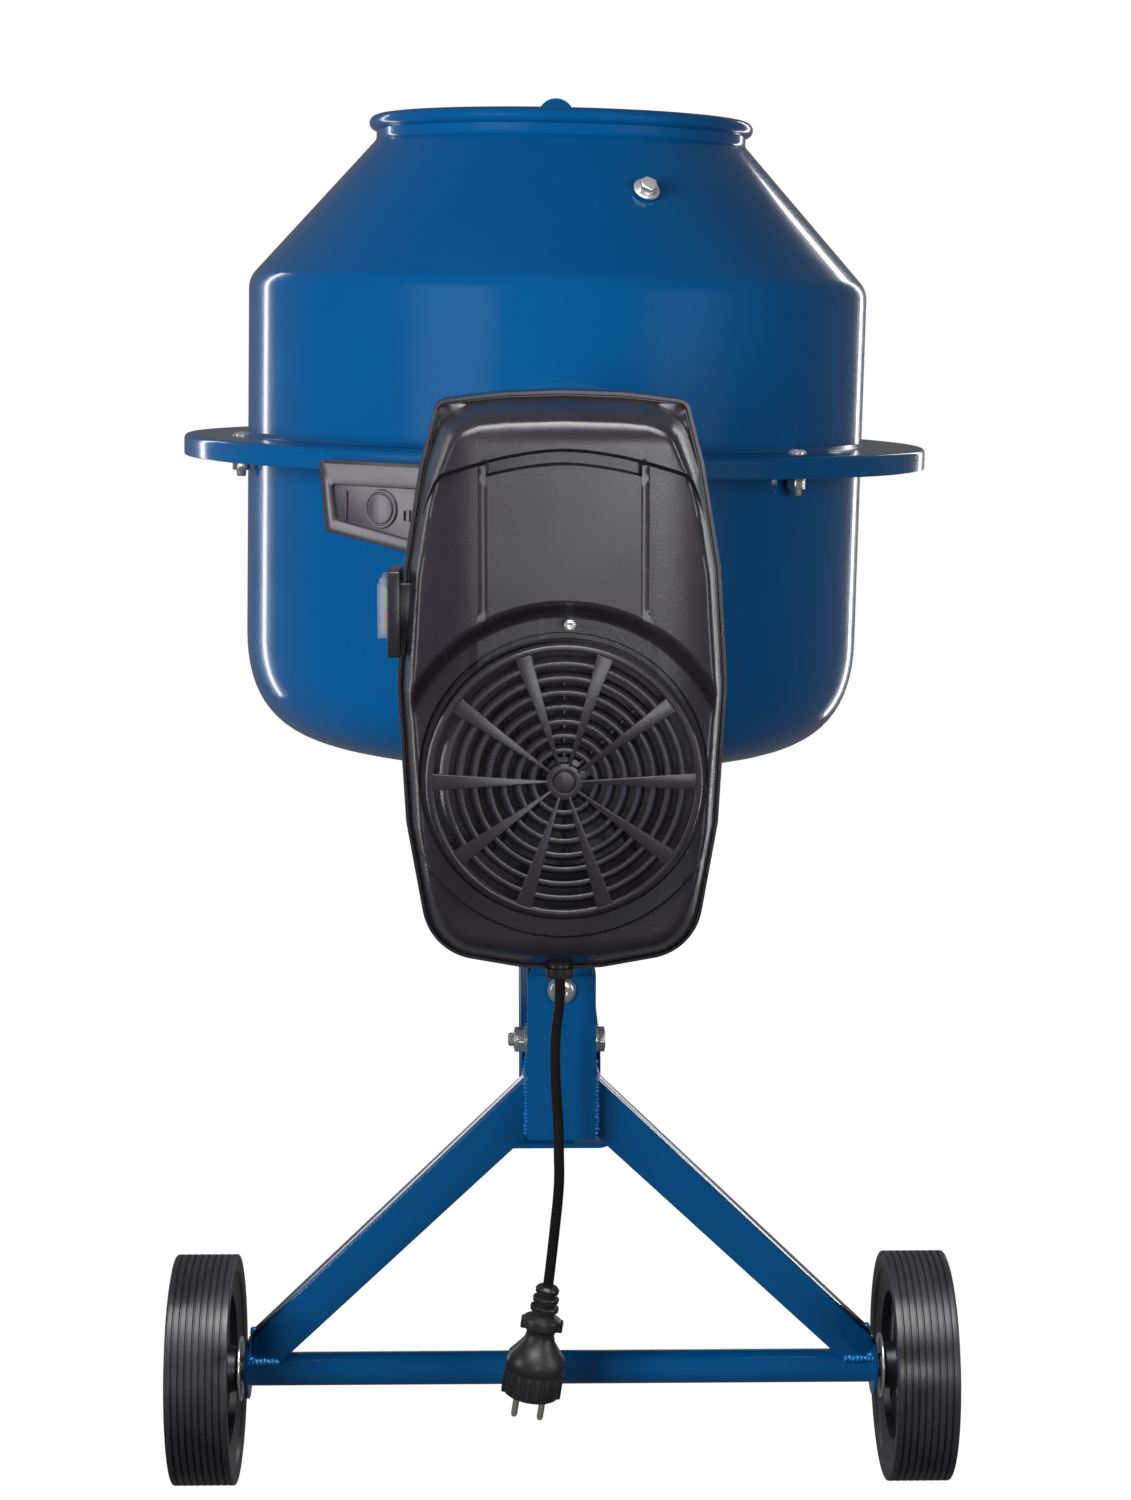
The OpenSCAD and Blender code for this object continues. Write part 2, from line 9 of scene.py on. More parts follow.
import bmesh
import bpy
import numpy
from bpy.props import FloatProperty, FloatVectorProperty, IntProperty, PointerProperty
from mathutils import Matrix, Vector
from mathutils.geometry import convex_hull_2d, delaunay_2d_cdt

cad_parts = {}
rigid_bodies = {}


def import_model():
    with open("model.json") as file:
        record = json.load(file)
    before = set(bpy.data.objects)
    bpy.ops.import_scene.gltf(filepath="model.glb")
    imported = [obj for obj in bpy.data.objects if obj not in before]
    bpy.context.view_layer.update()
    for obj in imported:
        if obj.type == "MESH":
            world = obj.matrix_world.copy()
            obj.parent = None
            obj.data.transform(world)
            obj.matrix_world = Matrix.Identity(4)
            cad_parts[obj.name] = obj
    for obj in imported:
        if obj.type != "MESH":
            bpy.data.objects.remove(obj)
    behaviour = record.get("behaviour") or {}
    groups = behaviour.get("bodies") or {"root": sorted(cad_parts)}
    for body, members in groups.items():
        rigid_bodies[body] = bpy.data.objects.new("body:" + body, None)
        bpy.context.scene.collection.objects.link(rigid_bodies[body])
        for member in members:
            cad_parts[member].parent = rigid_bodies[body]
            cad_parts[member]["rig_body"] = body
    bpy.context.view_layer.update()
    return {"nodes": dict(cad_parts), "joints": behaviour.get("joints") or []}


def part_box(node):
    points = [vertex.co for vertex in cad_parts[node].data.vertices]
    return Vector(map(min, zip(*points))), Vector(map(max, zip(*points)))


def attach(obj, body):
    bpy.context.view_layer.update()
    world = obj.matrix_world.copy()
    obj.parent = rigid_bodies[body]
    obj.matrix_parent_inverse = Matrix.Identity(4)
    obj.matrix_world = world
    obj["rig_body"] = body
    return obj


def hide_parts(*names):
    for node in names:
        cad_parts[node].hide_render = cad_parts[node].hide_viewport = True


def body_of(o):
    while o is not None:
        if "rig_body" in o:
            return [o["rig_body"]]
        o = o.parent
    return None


bl_info = {
    "name": "Concrete Mixer Looks",
    "version": (1, 0, 0),
    "blender": (4, 5, 0),
    "location": "3D View > Sidebar > Mixer",
    "description": "Builds the visible pieces, finishes and studio of a concrete mixer",
    "category": "Object",
}

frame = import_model()


# --- places taken from the frame -------------------------------------------------------------

def joint_named(name):
    return next(joint for joint in frame["joints"] if joint["name"] == name)


SPIN = joint_named("drum_spin")
TILT = Vector(SPIN["pos_m"])                 # where the tilt axis meets the drum's axis
LEAN = math.atan2(SPIN["axis"][0], SPIN["axis"][2])
LEANING = Matrix.Translation(TILT) @ Matrix.Rotation(LEAN, 4, "Y") @ Matrix.Translation(-TILT)
DRUM_AXIS = Vector((0, TILT.y, 0))


def middle(node):
    low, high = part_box(node)
    return (low + high) / 2


# --- shader maths ----------------------------------------------------------------------------

class Value:
    """A number in a node tree; the usual operators add Math nodes."""

    def __init__(self, paint, socket):
        self.paint = paint
        self.socket = socket

    def _math(self, operation, first, second):
        return self.paint.node("ShaderNodeMath", {"operation": operation}, first, second)

    def __add__(self, other):
        return self._math("ADD", self, other)

    def __mul__(self, other):
        return self._math("MULTIPLY", self, other)

    def __sub__(self, other):
        return self._math("SUBTRACT", self, other)

    def __rsub__(self, other):
        return self._math("SUBTRACT", other, self)

    __radd__ = __add__
    __rmul__ = __mul__

    def band(self, low, high):
        """0 below low, 1 above high."""
        return self.paint.node("ShaderNodeMapRange", {"clamp": True}, self, low, high, 0.0, 1.0)


class Paint:
    def __init__(self, name):
        self.material = bpy.data.materials.new(name)
        self.material.use_nodes = True
        self.tree = self.material.node_tree
        self.tree.nodes.clear()
        self.coordinates = self.tree.nodes.new("ShaderNodeTexCoord")

    def node(self, kind, settings, *values, output=0, **named):
        node = self.tree.nodes.new(kind)
        for key, value in settings.items():
            setattr(node, key, value)
        for key, value in [*enumerate(values), *named.items()]:
            socket = node.inputs[key]
            if isinstance(value, Value):
                self.tree.links.new(value.socket, socket)
            elif value is not None:
                socket.default_value = value
        return Value(self, node.outputs[output])

    def place(self, stretch=(1, 1, 1), source="Object"):
        start = Value(self, self.coordinates.outputs[source])
        return self.node("ShaderNodeMapping", {}, Vector=start, Scale=stretch)

    def noise(self, scale, detail=3.0, roughness=0.5, stretch=(1, 1, 1)):
        return self.node("ShaderNodeTexNoise", {}, Vector=self.place(stretch), Scale=scale, Detail=detail,
                         Roughness=roughness)

    def blend(self, factor, first, second):
        """A colour between first and second."""
        colour = {0: factor, 6: first, 7: second}
        values = [colour.get(index) for index in range(8)]
        return self.node("ShaderNodeMix", {"data_type": "RGBA"}, *values, output=2)

    def bump(self, height, strength, distance):
        return self.node("ShaderNodeBump", {}, Strength=strength, Distance=distance, Height=height)

    def finish(self, **sockets):
        surface = self.tree.nodes.new("ShaderNodeBsdfPrincipled")
        for name, value in sockets.items():
            socket = surface.inputs[name.replace("_", " ")]
            if isinstance(value, Value):
                self.tree.links.new(value.socket, socket)
            else:
                socket.default_value = value
        output = self.tree.nodes.new("ShaderNodeOutputMaterial")
        self.tree.links.new(surface.outputs[0], output.inputs[0])
        return self.material


def tinted(colour, factor):
    return (*[channel * factor for channel in colour[:3]], 1)


# --- finishes --------------------------------------------------------------------------------

def powder_coat(colour, name="blue_powder_coat"):
    """Gloss blue powder coat: faint orange peel, a cloudy tone and scattered lighter flecks."""
    paint = Paint(name)
    cloud = paint.noise(5, 3).band(0.35, 0.7)
    fleck = paint.noise(420, 2).band(0.4, 0.65)
    base = paint.blend(cloud, tinted(colour, 0.93), tinted(colour, 1.06))
    base = paint.blend(fleck * 0.12, base, tinted(colour, 1.35))
    peel = paint.noise(260, 2)
    return paint.finish(Base_Color=base, Roughness=0.13 + 0.1 * paint.noise(16, 4), Coat_Weight=0.4,
                        Coat_Roughness=0.06, Specular_IOR_Level=0.5, Normal=paint.bump(peel, 0.05, 0.0006))


def moulded_plastic(name, colour, roughness, grain_scale=900, grain=0.25):
    """Moulded black plastic: fine leathery grain, soft scuffs, uneven sheen."""
    paint = Paint(name)
    scuffs = paint.noise(28, 6, 0.65, (1, 1, 0.35)).band(0.5, 0.72)
    cloud = paint.noise(9, 4, 0.6).band(0.15, 0.9)
    base = paint.blend(cloud, tinted(colour, 0.85), tinted(colour, 1.25))
    base = paint.blend(scuffs * 0.35, base, tinted(colour, 2.0))
    sheen = roughness - 0.06 + 0.16 * cloud
    texture = paint.noise(grain_scale, 2, 0.5)
    return paint.finish(Base_Color=base, Roughness=sheen, Specular_IOR_Level=0.6,
                        Normal=paint.bump(texture, grain, 0.0004))


def plated(name, colour, roughness):
    """Bright zinc plate: slight yellow and blue bloom, fine brushed scratches."""
    paint = Paint(name)
    bloom = paint.noise(90, 3).band(0.35, 0.65)
    base = paint.blend(bloom, tinted(colour, 0.9), (colour[0], colour[1] * 0.98, colour[2] * 0.9, 1))
    scratches = paint.noise(700, 3, 0.6, (1, 1, 0.15))
    return paint.finish(Base_Color=base, Metallic=0.85, Roughness=roughness + 0.15 * scratches,
                        Normal=paint.bump(scratches, 0.08, 0.0002))


def cast_metal(name, colour, roughness, lump):
    """Sand-cast metal: coarse skin, darker hollows."""
    paint = Paint(name)
    skin = paint.noise(lump, 6, 0.65)
    base = paint.blend(skin.band(0.35, 0.65), tinted(colour, 0.7), tinted(colour, 1.3))
    return paint.finish(Base_Color=base, Metallic=0.85, Roughness=roughness + 0.2 * skin,
                        Normal=paint.bump(skin, 0.5, 0.0008))


def rubber(name, colour, dust):
    """Matt rubber with a trace of dust in soft random patches."""
    paint = Paint(name)
    cloud = paint.noise(14, 5, 0.6).band(0.4, 0.75)
    speck = paint.noise(600, 3)
    base = paint.blend(cloud * dust, tinted(colour, 0.9), tinted(colour, 2.6))
    return paint.finish(Base_Color=base, Roughness=0.26 + 0.24 * cloud, Specular_IOR_Level=0.5,
                        Normal=paint.bump(speck, 0.18, 0.0004))


def gloss(name, colour, **extra):
    """Small glossy moulding with faint moulding ripples."""
    paint = Paint(name)
    ripple = paint.noise(120, 2)
    base = paint.blend(ripple.band(0.3, 0.7), tinted(colour, 0.92), tinted(colour, 1.08))
    return paint.finish(Base_Color=base, Roughness=0.18 + 0.1 * ripple,
                        Normal=paint.bump(ripple, 0.06, 0.0004),
                        **extra)


def studio_floor():
    """Pale matt floor with the faintest mottling."""
    paint = Paint("studio_floor")
    mottle = paint.noise(3, 2).band(0.3, 0.7)
    return paint.finish(Base_Color=paint.blend(mottle, (0.24, 0.24, 0.24, 1), (0.26, 0.26, 0.26, 1)),
                        Roughness=0.7,
                        Emission_Color=(1, 1, 1, 1), Emission_Strength=0.96)




# --- mesh helpers ----------------------------------------------------------------------------

def mesh_piece(name, points, faces, smooth=True):
    mesh = bpy.data.meshes.new(name)
    mesh.from_pydata([tuple(point) for point in points], [], faces)
    piece = bpy.data.objects.new(name, mesh)
    bpy.context.collection.objects.link(piece)
    if smooth:
        mesh.shade_smooth()
    return piece


def outward(piece):
    """Merges doubles and turns every face outwards."""
    work = bmesh.new()
    work.from_mesh(piece.data)
    bmesh.ops.remove_doubles(work, verts=work.verts, dist=1e-6)
    bmesh.ops.recalc_face_normals(work, faces=work.faces)
    work.to_mesh(piece.data)
    work.free()
    return piece


def crease(piece, angle=32):
    """Smooth shading that stays sharp past an angle in degrees."""
    piece.data.shade_smooth()
    piece.data.set_sharp_from_angle(angle=math.radians(angle))
    return piece


def bevelled(piece, width, segments=3, angle=30):
    """Rounds the edges with a live bevel, then makes them real."""
    bevel = piece.modifiers.new("rounded edges", "BEVEL")
    bevel.width = width
    bevel.segments = segments
    bevel.limit_method = "ANGLE"
    bevel.angle_limit = math.radians(angle)
    bevel.harden_normals = False
    return crease(baked(piece), 40)


def baked(piece):
    """The piece with its modifiers made real."""
    graph = bpy.context.evaluated_depsgraph_get()
    graph.update()
    result = bpy.data.meshes.new_from_object(piece.evaluated_get(graph))
    old = piece.data
    piece.modifiers.clear()
    piece.data = result
    bpy.data.meshes.remove(old)
    return piece


def joined(name, pieces):
    """One mesh from several, each with its place applied."""
    work = bmesh.new()
    for piece in pieces:
        copy = piece.data.copy()
        copy.transform(piece.matrix_world)
        work.from_mesh(copy)
        bpy.data.meshes.remove(copy)
    mesh = bpy.data.meshes.new(name)
    work.to_mesh(mesh)
    work.free()
    for piece in pieces:
        bpy.data.objects.remove(piece)
    result = bpy.data.objects.new(name, mesh)
    bpy.context.collection.objects.link(result)
    return result


def dress(piece, body, material, slot, *nodes):
    """Gives a finished piece its material and its body, hides the CAD nodes it stands for, and puts pieces of
    the dark slots among those the sheen lamps light.
    """
    piece.data.materials.clear()
    piece.data.materials.append(material)
    if slot in ("black_plastic", "tyre", "rubber", "zinc"):
        bpy.data.collections[SHEEN].objects.link(piece)
    if nodes:
        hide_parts(*nodes)
    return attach(piece, body)


def rounded(corners, steps=6):
    """Outline points from (x, z, radius) corners, each corner an arc."""
    points = []
    for index, (x, z, radius) in enumerate(corners):
        here = Vector((x, z))
        before = Vector(corners[index - 1][:2]) - here
        after = Vector(corners[(index + 1) % len(corners)][:2]) - here
        if radius <= 0:
            points.append(here)
            continue
        half = before.angle(after) / 2
        reach = min(radius / math.tan(half), before.length * 0.49, after.length * 0.49)
        start = here + before.normalized() * reach
        end = here + after.normalized() * reach
        for step in range(steps + 1):
            t = step / steps
            points.append(start.lerp(here, t).lerp(here.lerp(end, t), t))
    return points


def revolved(name, outline, segments=160, smooth_angle=32):
    """Turns a closed outline of (radius, height) points about the Z axis."""
    points, faces, count = [], [], len(outline)
    for step in range(segments):
        angle = math.tau * step / segments
        points += [(r * math.cos(angle), r * math.sin(angle), z) for r, z in outline]
    for step in range(segments):
        here, there = step * count, (step + 1) % segments * count
        for index in range(count):
            after = (index + 1) % count
            faces.append((here + index, there + index, there + after, here + after))
    return crease(outward(mesh_piece(name, points, faces)), smooth_angle)


def loft(name, rings, caps=True):
    """Skins a list of rings of equal length and closes both ends."""
    points = [point for ring in rings for point in ring]
    count = len(rings[0])
    faces = []
    for level in range(len(rings) - 1):
        for index in range(count):
            after = (index + 1) % count
            faces.append((level * count + index, level * count + after, (level + 1) * count + after,
                          (level + 1) * count + index))
    if caps:
        faces.append(tuple(range(count)))
        faces.append(tuple(range((len(rings) - 1) * count, len(rings) * count)))
    return outward(mesh_piece(name, points, faces))


def prism(name, outline, depth, matrix=Matrix(), bevel=0.0):
    """Extrudes an (x, y) outline along Z by depth, rounds its edges and applies the matrix."""
    low = [Vector((x, y, 0)) for x, y in outline]
    high = [Vector((x, y, depth)) for x, y in outline]
    piece = loft(name, [low, high])
    if bevel:
        bevelled(piece, bevel)
    else:
        crease(piece)
    piece.data.transform(matrix)
    return piece


def hexagon(across_flats):
    radius = across_flats / math.sqrt(3)
    return [(radius * math.cos(math.tau * k / 6), radius * math.sin(math.tau * k / 6)) for k in range(6)]


def box_outline(width, depth, radius, steps=4):
    x, y = width / 2, depth / 2
    return rounded([(-x, -y, radius), (x, -y, radius), (x, y, radius), (-x, y, radius)], steps)


def facing(start, end, up=(0, 0, 1)):
    """Matrix that puts local Z on the line from start to end, local Y towards up."""
    z = (Vector(end) - Vector(start)).normalized()
    x = Vector(up).cross(z)
    x = x.normalized() if x.length > 1e-6 else Vector((1, 0, 0))
    turn = Matrix((x, z.cross(x), z)).transposed().to_4x4()
    return Matrix.Translation(Vector(start)) @ turn


def hex_bolt(name, across_flats, height, shaft, length, washer=0.0, washer_height=0.0016):
    """Chamfered hexagon head on local Z from 0 up, shank below, optional washer under the head."""
    head_r = across_flats / 2
    head = prism(name, hexagon(across_flats), height,
                 Matrix.Translation((0, 0, washer_height if washer else 0)),
                 height * 0.12)
    top = height + (washer_height if washer else 0)
    dome = revolved(name, [(0, top - 0.0001), (head_r * 0.86, top - 0.0001), (head_r * 0.8, top + 0.0005),
                           (0, top + 0.0006)], 40)
    shank = revolved(name, [(0, -length), (shaft * 0.85, -length), (shaft, -length + shaft * 0.3),
                            (shaft, 0.0005),
                            (0, 0.0005)], 32)
    parts = [head, dome, shank]
    if washer:
        parts.append(revolved(name, rounded([(shaft, 0, 0), (washer, 0, 0.0003),
                                             (washer, washer_height, 0.0005),
                                             (shaft, washer_height, 0)], 2), 40))
    return joined(name, parts)


# --- geometry nodes --------------------------------------------------------------------------

class Builder:
    """A Geometry Nodes tree made in code."""

    def __init__(self, name, inputs):
        self.tree = bpy.data.node_groups.new(name, "GeometryNodeTree")
        self.tree.interface.new_socket("Geometry", in_out="INPUT", socket_type="NodeSocketGeometry")
        self.names = {}
        for label, kind, value in inputs:
            socket = self.tree.interface.new_socket(label, in_out="INPUT", socket_type=kind)
            socket.default_value = value
            self.names[label] = socket.identifier
        self.tree.interface.new_socket("Geometry", in_out="OUTPUT", socket_type="NodeSocketGeometry")
        self.start = self.tree.nodes.new("NodeGroupInput")
        self.end = self.tree.nodes.new("NodeGroupOutput")

    def given(self, label):
        return self.start.outputs[label]

    def node(self, kind, settings, output=0, **values):
        node = self.tree.nodes.new(kind)
        for key, value in settings.items():
            setattr(node, key, value)
        for key, value in values.items():
            socket = node.inputs[key.replace("_", " ")]
            if isinstance(value, bpy.types.NodeSocket):
                self.tree.links.new(value, socket)
            else:
                socket.default_value = value
        return node.outputs[output]

    def close(self, geometry, material):
        real = self.node("GeometryNodeRealizeInstances", {}, Geometry=geometry)
        painted = self.node("GeometryNodeSetMaterial", {}, Geometry=real, Material=material)
        self.tree.links.new(painted, self.end.inputs[0])

    def apply(self, piece, **inputs):
        """Runs the tree on a piece and keeps the result as its plain mesh."""
        modifier = piece.modifiers.new(self.tree.name, "NODES")
        modifier.node_group = self.tree
        for label, value in inputs.items():
            modifier[self.names[label.replace("_", " ")]] = value
        return baked(piece)


def ring_tree(material):
    """Repeats a piece round an axis through the origin: Count copies, Step apart, from Start."""
    tree = Builder("repeat round an axis", [("Count", "NodeSocketInt", 10), ("Step", "NodeSocketFloat", 0.6),
                                            ("Start", "NodeSocketFloat", 0.0),
                                            ("Axis", "NodeSocketVector", (0, 0, 1))])
    points = tree.node("GeometryNodeMeshLine", {}, Count=tree.given("Count"), Offset=(0, 0, 0))
    index = tree.node("GeometryNodeInputIndex", {})
    turn = tree.node("ShaderNodeMath", {"operation": "MULTIPLY"})
    tree.tree.links.new(index, turn.node.inputs[0])
    tree.tree.links.new(tree.given("Step"), turn.node.inputs[1])
    angle = tree.node("ShaderNodeMath", {"operation": "ADD"})
    tree.tree.links.new(turn, angle.node.inputs[0])
    tree.tree.links.new(tree.given("Start"), angle.node.inputs[1])
    rotation = tree.node("FunctionNodeAxisAngleToRotation", {}, Axis=tree.given("Axis"), Angle=angle)
    copies = tree.node("GeometryNodeInstanceOnPoints", {}, Points=points, Instance=tree.given("Geometry"),
                       Rotation=rotation)
    tree.close(copies, material)
    return tree


def bead_tree(material):
    """Lays overlapping weld ripples along a line: Count drops from Start to End, sizes from a fixed seed."""
    tree = Builder("weld ripples", [("Count", "NodeSocketInt", 12), ("Start", "NodeSocketVector", (0, 0, 0)),
                                    ("End", "NodeSocketVector", (0, 0, 1)),
                                    ("Size", "NodeSocketFloat", 0.003),
                                    ("Seed", "NodeSocketInt", 3)])
    line = tree.node("GeometryNodeMeshLine", {"mode": "END_POINTS"}, Count=tree.given("Count"),
                     Start_Location=tree.given("Start"), Offset=tree.given("End"))
    drop = tree.node("GeometryNodeMeshIcoSphere", {}, Radius=tree.given("Size"), Subdivisions=2)
    size = tree.node("FunctionNodeRandomValue", {"data_type": "FLOAT_VECTOR"}, Seed=tree.given("Seed"))
    size.node.inputs[0].default_value = (0.75, 0.75, 0.75)
    size.node.inputs[1].default_value = (1.2, 1.2, 1.2)
    beads = tree.node("GeometryNodeInstanceOnPoints", {}, Points=line, Instance=drop, Scale=size)
    smooth = tree.node("GeometryNodeSetShadeSmooth", {}, Geometry=beads)
    tree.close(smooth, material)
    return tree




# --- settings a user would change ------------------------------------------------------------

def rgb(name, description, colour):
    return FloatVectorProperty(name=name, description=description, subtype="COLOR", size=3, min=0, max=1,
                               default=colour)


def length(name, description, metres):
    return FloatProperty(name=name, description=description, default=metres, min=0.0, unit="LENGTH",
                         precision=4)


class MIXER_PG_finishes(bpy.types.PropertyGroup):
    """Colours of the painted and moulded pieces."""
    coat: rgb("Powder coat", "Colour of the drum, yoke and stand", (0.0, 0.118, 0.36))
    plastic: rgb("Housing plastic", "Colour of the motor housing and guard", (0.0135, 0.012, 0.0158))
    tyre: rgb("Tyre rubber", "Colour of the solid tyres", (0.0145, 0.0142, 0.0165))
    zinc: rgb("Zinc plate", "Colour of bolts, nuts and washers", (0.72, 0.73, 0.75))
    start: rgb("Start button", "Colour of the start button", (0.03, 0.42, 0.14))
    stop: rgb("Stop button", "Colour of the stop button", (0.55, 0.02, 0.02))


class MIXER_PG_drum(bpy.types.PropertyGroup):
    """Sizes of the drum and its gear cover."""
    radius: length("Drum radius", "Outer radius of the straight wall", 0.258)
    neck: length("Neck radius", "Outer radius under the rolled rim", 0.1535)
    roll: length("Rim roll", "Radius of the rolled rim", 0.006)
    shoulder: length("Shoulder height", "Height of the bend between wall and cone", 0.894)
    corner: length("Bottom corner", "Radius between wall and bottom", 0.092)
    sheet: length("Sheet", "Thickness of the drum's sheet", 0.0025)


class MIXER_PG_grille(bpy.types.PropertyGroup):
    """Sizes of the round fan grille."""
    spokes: IntProperty(name="Spokes", description="Number of spokes", default=10, min=4, max=24)
    rings: IntProperty(name="Slots", description="Slots along each sector", default=8, min=2, max=16)
    pitch: length("Slot pitch", "Distance between slots", 0.0099)
    slat: length("Slat width", "Width of the bars between slots", 0.0031)


class MIXER_PG_wheel(bpy.types.PropertyGroup):
    """Sizes of the wheels."""
    grooves: IntProperty(name="Tread grooves", description="Grooves round each tyre", default=8, min=0,
                         max=16)
    groove_depth: length("Groove depth", "Depth of the tread grooves", 0.0016)
    ribs: IntProperty(name="Wheel ribs", description="Stiffening ribs in each wheel disc", default=16,
                      min=4, max=32)


class MIXER_PG_camera(bpy.types.PropertyGroup):
    """Camera in the studio."""
    lens: FloatProperty(name="Lens", description="Focal length", default=69.6, min=20, max=200, unit="CAMERA")
    place: FloatVectorProperty(name="Place", description="Camera position", default=(-0.034, -2.49, 0.863),
                               unit="LENGTH")
    pitch: FloatProperty(name="Pitch", description="Downward tilt", default=math.radians(8.4),
                         subtype="ANGLE")
    yaw: FloatProperty(name="Yaw", description="Turn to the right", default=math.radians(1.02),
                       subtype="ANGLE")



# --- finishes, made once ---------------------------------------------------------------------

FINISHES = {}


def finish(name):
    return FINISHES[name]


class MIXER_OT_finishes(bpy.types.Operator):
    """Makes every material"""
    bl_idname = "mixer.finishes"
    bl_label = "Finishes"

    def execute(self, context):
        chosen = context.scene.mixer_finishes
        FINISHES["blue_paint"] = powder_coat(chosen.coat)
        FINISHES["black_plastic"] = moulded_plastic("housing_plastic", chosen.plastic, 0.26)
        # The stand's paint: the same blue powder coat darkened to 0.68, a shaded copy that paints shade onto
        # the stand and its welds
        FINISHES["stand_paint_painted_shade"] = powder_coat(tinted(chosen.coat, 0.68), "stand_powder_coat")
        # The guard's plastic: the housing plastic lightened 2.5 times, a lit copy that paints light onto the
        # guard, which faces into shade
        FINISHES["guard_plastic"] = moulded_plastic("guard_plastic", tinted(chosen.plastic, 2.5), 0.2, 700,
                                                    0.12)
        FINISHES["wheel_plastic"] = moulded_plastic("wheel_plastic", tinted(chosen.plastic, 0.6), 0.36, 500,
                                                    0.15)
        FINISHES["tyre"] = rubber("tyre_rubber", chosen.tyre, 0.5)
        FINISHES["rubber"] = rubber("cord_rubber", (0.009, 0.0085, 0.009), 0.3)
        FINISHES["zinc"] = plated("zinc_plate", chosen.zinc, 0.16)
        FINISHES["steel"] = plated("turned_steel", (0.5, 0.51, 0.53), 0.3)
        FINISHES["brass"] = plated("nickel_pins", (0.78, 0.76, 0.7), 0.15)
        FINISHES["cast_iron"] = cast_metal("cast_ring", (0.16, 0.16, 0.17), 0.5, 120)
        FINISHES["aluminium"] = cast_metal("die_casting", (0.6, 0.61, 0.62), 0.32, 300)
        FINISHES["clear"] = gloss("clear_plastic", (0.75, 0.79, 0.82, 1), Alpha=0.25)
        FINISHES["green"] = gloss("green_button", (*chosen.start, 1))
        FINISHES["red"] = gloss("red_button", (*chosen.stop, 1))
        FINISHES["cream"] = gloss("capacitor_can", (0.7, 0.68, 0.6, 1))
        return {"FINISHED"}


# --- stage -----------------------------------------------------------------------------------

SHEEN = "lit_for_sheen"       # the dark mouldings, which get softer extra lights
EDGED = "lit_from_behind"     # the stand, whose upper edges catch a light from behind


def soft_light(name, place, aim, width, height, power, mirrored=True):
    lamp = bpy.data.lights.new(name, "AREA")
    lamp.shape = "RECTANGLE"
    lamp.size = width
    lamp.size_y = height
    lamp.energy = power
    holder = bpy.data.objects.new(name, lamp)
    holder.location = place
    holder.rotation_euler = (Vector(aim) - Vector(place)).to_track_quat("-Z", "Y").to_euler()
    holder.visible_glossy = mirrored
    bpy.context.collection.objects.link(holder)
    return holder


class MIXER_OT_stage(bpy.types.Operator):
    """Sets the floor, the soft lights, the white surroundings and the camera"""
    bl_idname = "mixer.stage"
    bl_label = "Studio"

    def execute(self, context):
        scene = context.scene
        scene.view_settings.view_transform = "Standard"
        scene.world = self.surroundings()
        reach = 9.0
        floor = mesh_piece("floor", [(-reach, -reach, 0), (reach, -reach, 0), (reach, reach, 0),
                                     (-reach, reach, 0)],
                           [(0, 1, 2, 3)])
        floor.data.materials.append(studio_floor())
        floor.visible_glossy = False
        floor.visible_diffuse = False
        soft_light("key", (-2.0, -2.6, 1.0), (0, 0, 0.7), 1.7, 1.5, 84, mirrored=False)
        soft_light("fill", (2.3, -2.2, 0.9), (0, 0, 0.6), 1.6, 1.5, 26, mirrored=False)
        soft_light("left_edge", (-1.95, 1.7, 0.8), (0, 0, 0.7), 0.16, 2.4, 8)
        soft_light("right_edge", (1.4, 2.2, 0.8), (0, 0, 0.7), 0.16, 2.4, 8)
        mouldings = bpy.data.collections.new(SHEEN)
        for lamp in (soft_light("sheen_front", (0.5, -3.2, 0.78), (0, -0.5, 0.7), 1.1, 0.5, 13),
                     soft_light("sheen_top", (0.1, -1.9, 2.0), (0, -0.5, 0.75), 1.4, 0.4, 12),
                     soft_light("sheen_hood", (0, -1.25, 2.4), (0, -0.5, 0.8), 1.5, 1.0, 52),
                     soft_light("sheen_left", (-1.8, -1.1, 0.75), (-0.2, -0.5, 0.7), 0.5, 1.0, 8),
                     soft_light("sheen_side", (2.1, -1.3, 0.9), (0, -0.5, 0.6), 0.3, 1.6, 16)):
            lamp.light_linking.receiver_collection = mouldings
        behind = soft_light("stand_edges", (0, 3.0, 0.25), (0, -0.4, 0.2), 3.2, 0.6, 9)
        behind.light_linking.receiver_collection = bpy.data.collections.new(EDGED)
        chosen = scene.mixer_camera
        camera = bpy.data.objects.new("camera", bpy.data.cameras.new("camera"))
        camera.data.lens = chosen.lens
        camera.location = chosen.place
        camera.rotation_euler = (math.pi / 2 - chosen.pitch, 0, -chosen.yaw)
        context.collection.objects.link(camera)
        scene.camera = camera
        return {"FINISHED"}

    def surroundings(self):
        """White to the camera; elsewhere bright behind the object and dark on the camera's side."""
        world = bpy.data.worlds.new("white_studio")
        world.use_nodes = True
        nodes, links = world.node_tree.nodes, world.node_tree.links
        direction = nodes.new("ShaderNodeTexCoord")
        parts = nodes.new("ShaderNodeSeparateXYZ")
        links.new(direction.outputs["Generated"], parts.inputs[0])
        behind = nodes.new("ShaderNodeMapRange")
        for socket, value in (("From Min", 0.1), ("From Max", 0.95), ("To Min", 0.06), ("To Max", 0.13)):
            behind.inputs[socket].default_value = value
        links.new(parts.outputs["Y"], behind.inputs[0])
        path = nodes.new("ShaderNodeLightPath")
        seen = nodes.new("ShaderNodeMath")
        seen.operation = "MAXIMUM"
        links.new(path.outputs["Is Camera Ray"], seen.inputs[0])
        links.new(behind.outputs[0], seen.inputs[1])
        backdrop = nodes["Background"]
        backdrop.inputs[0].default_value = (1, 1, 1, 1)
        links.new(seen.outputs[0], backdrop.inputs[1])
        return world


# --- cord ------------------------------------------------------------------------------------

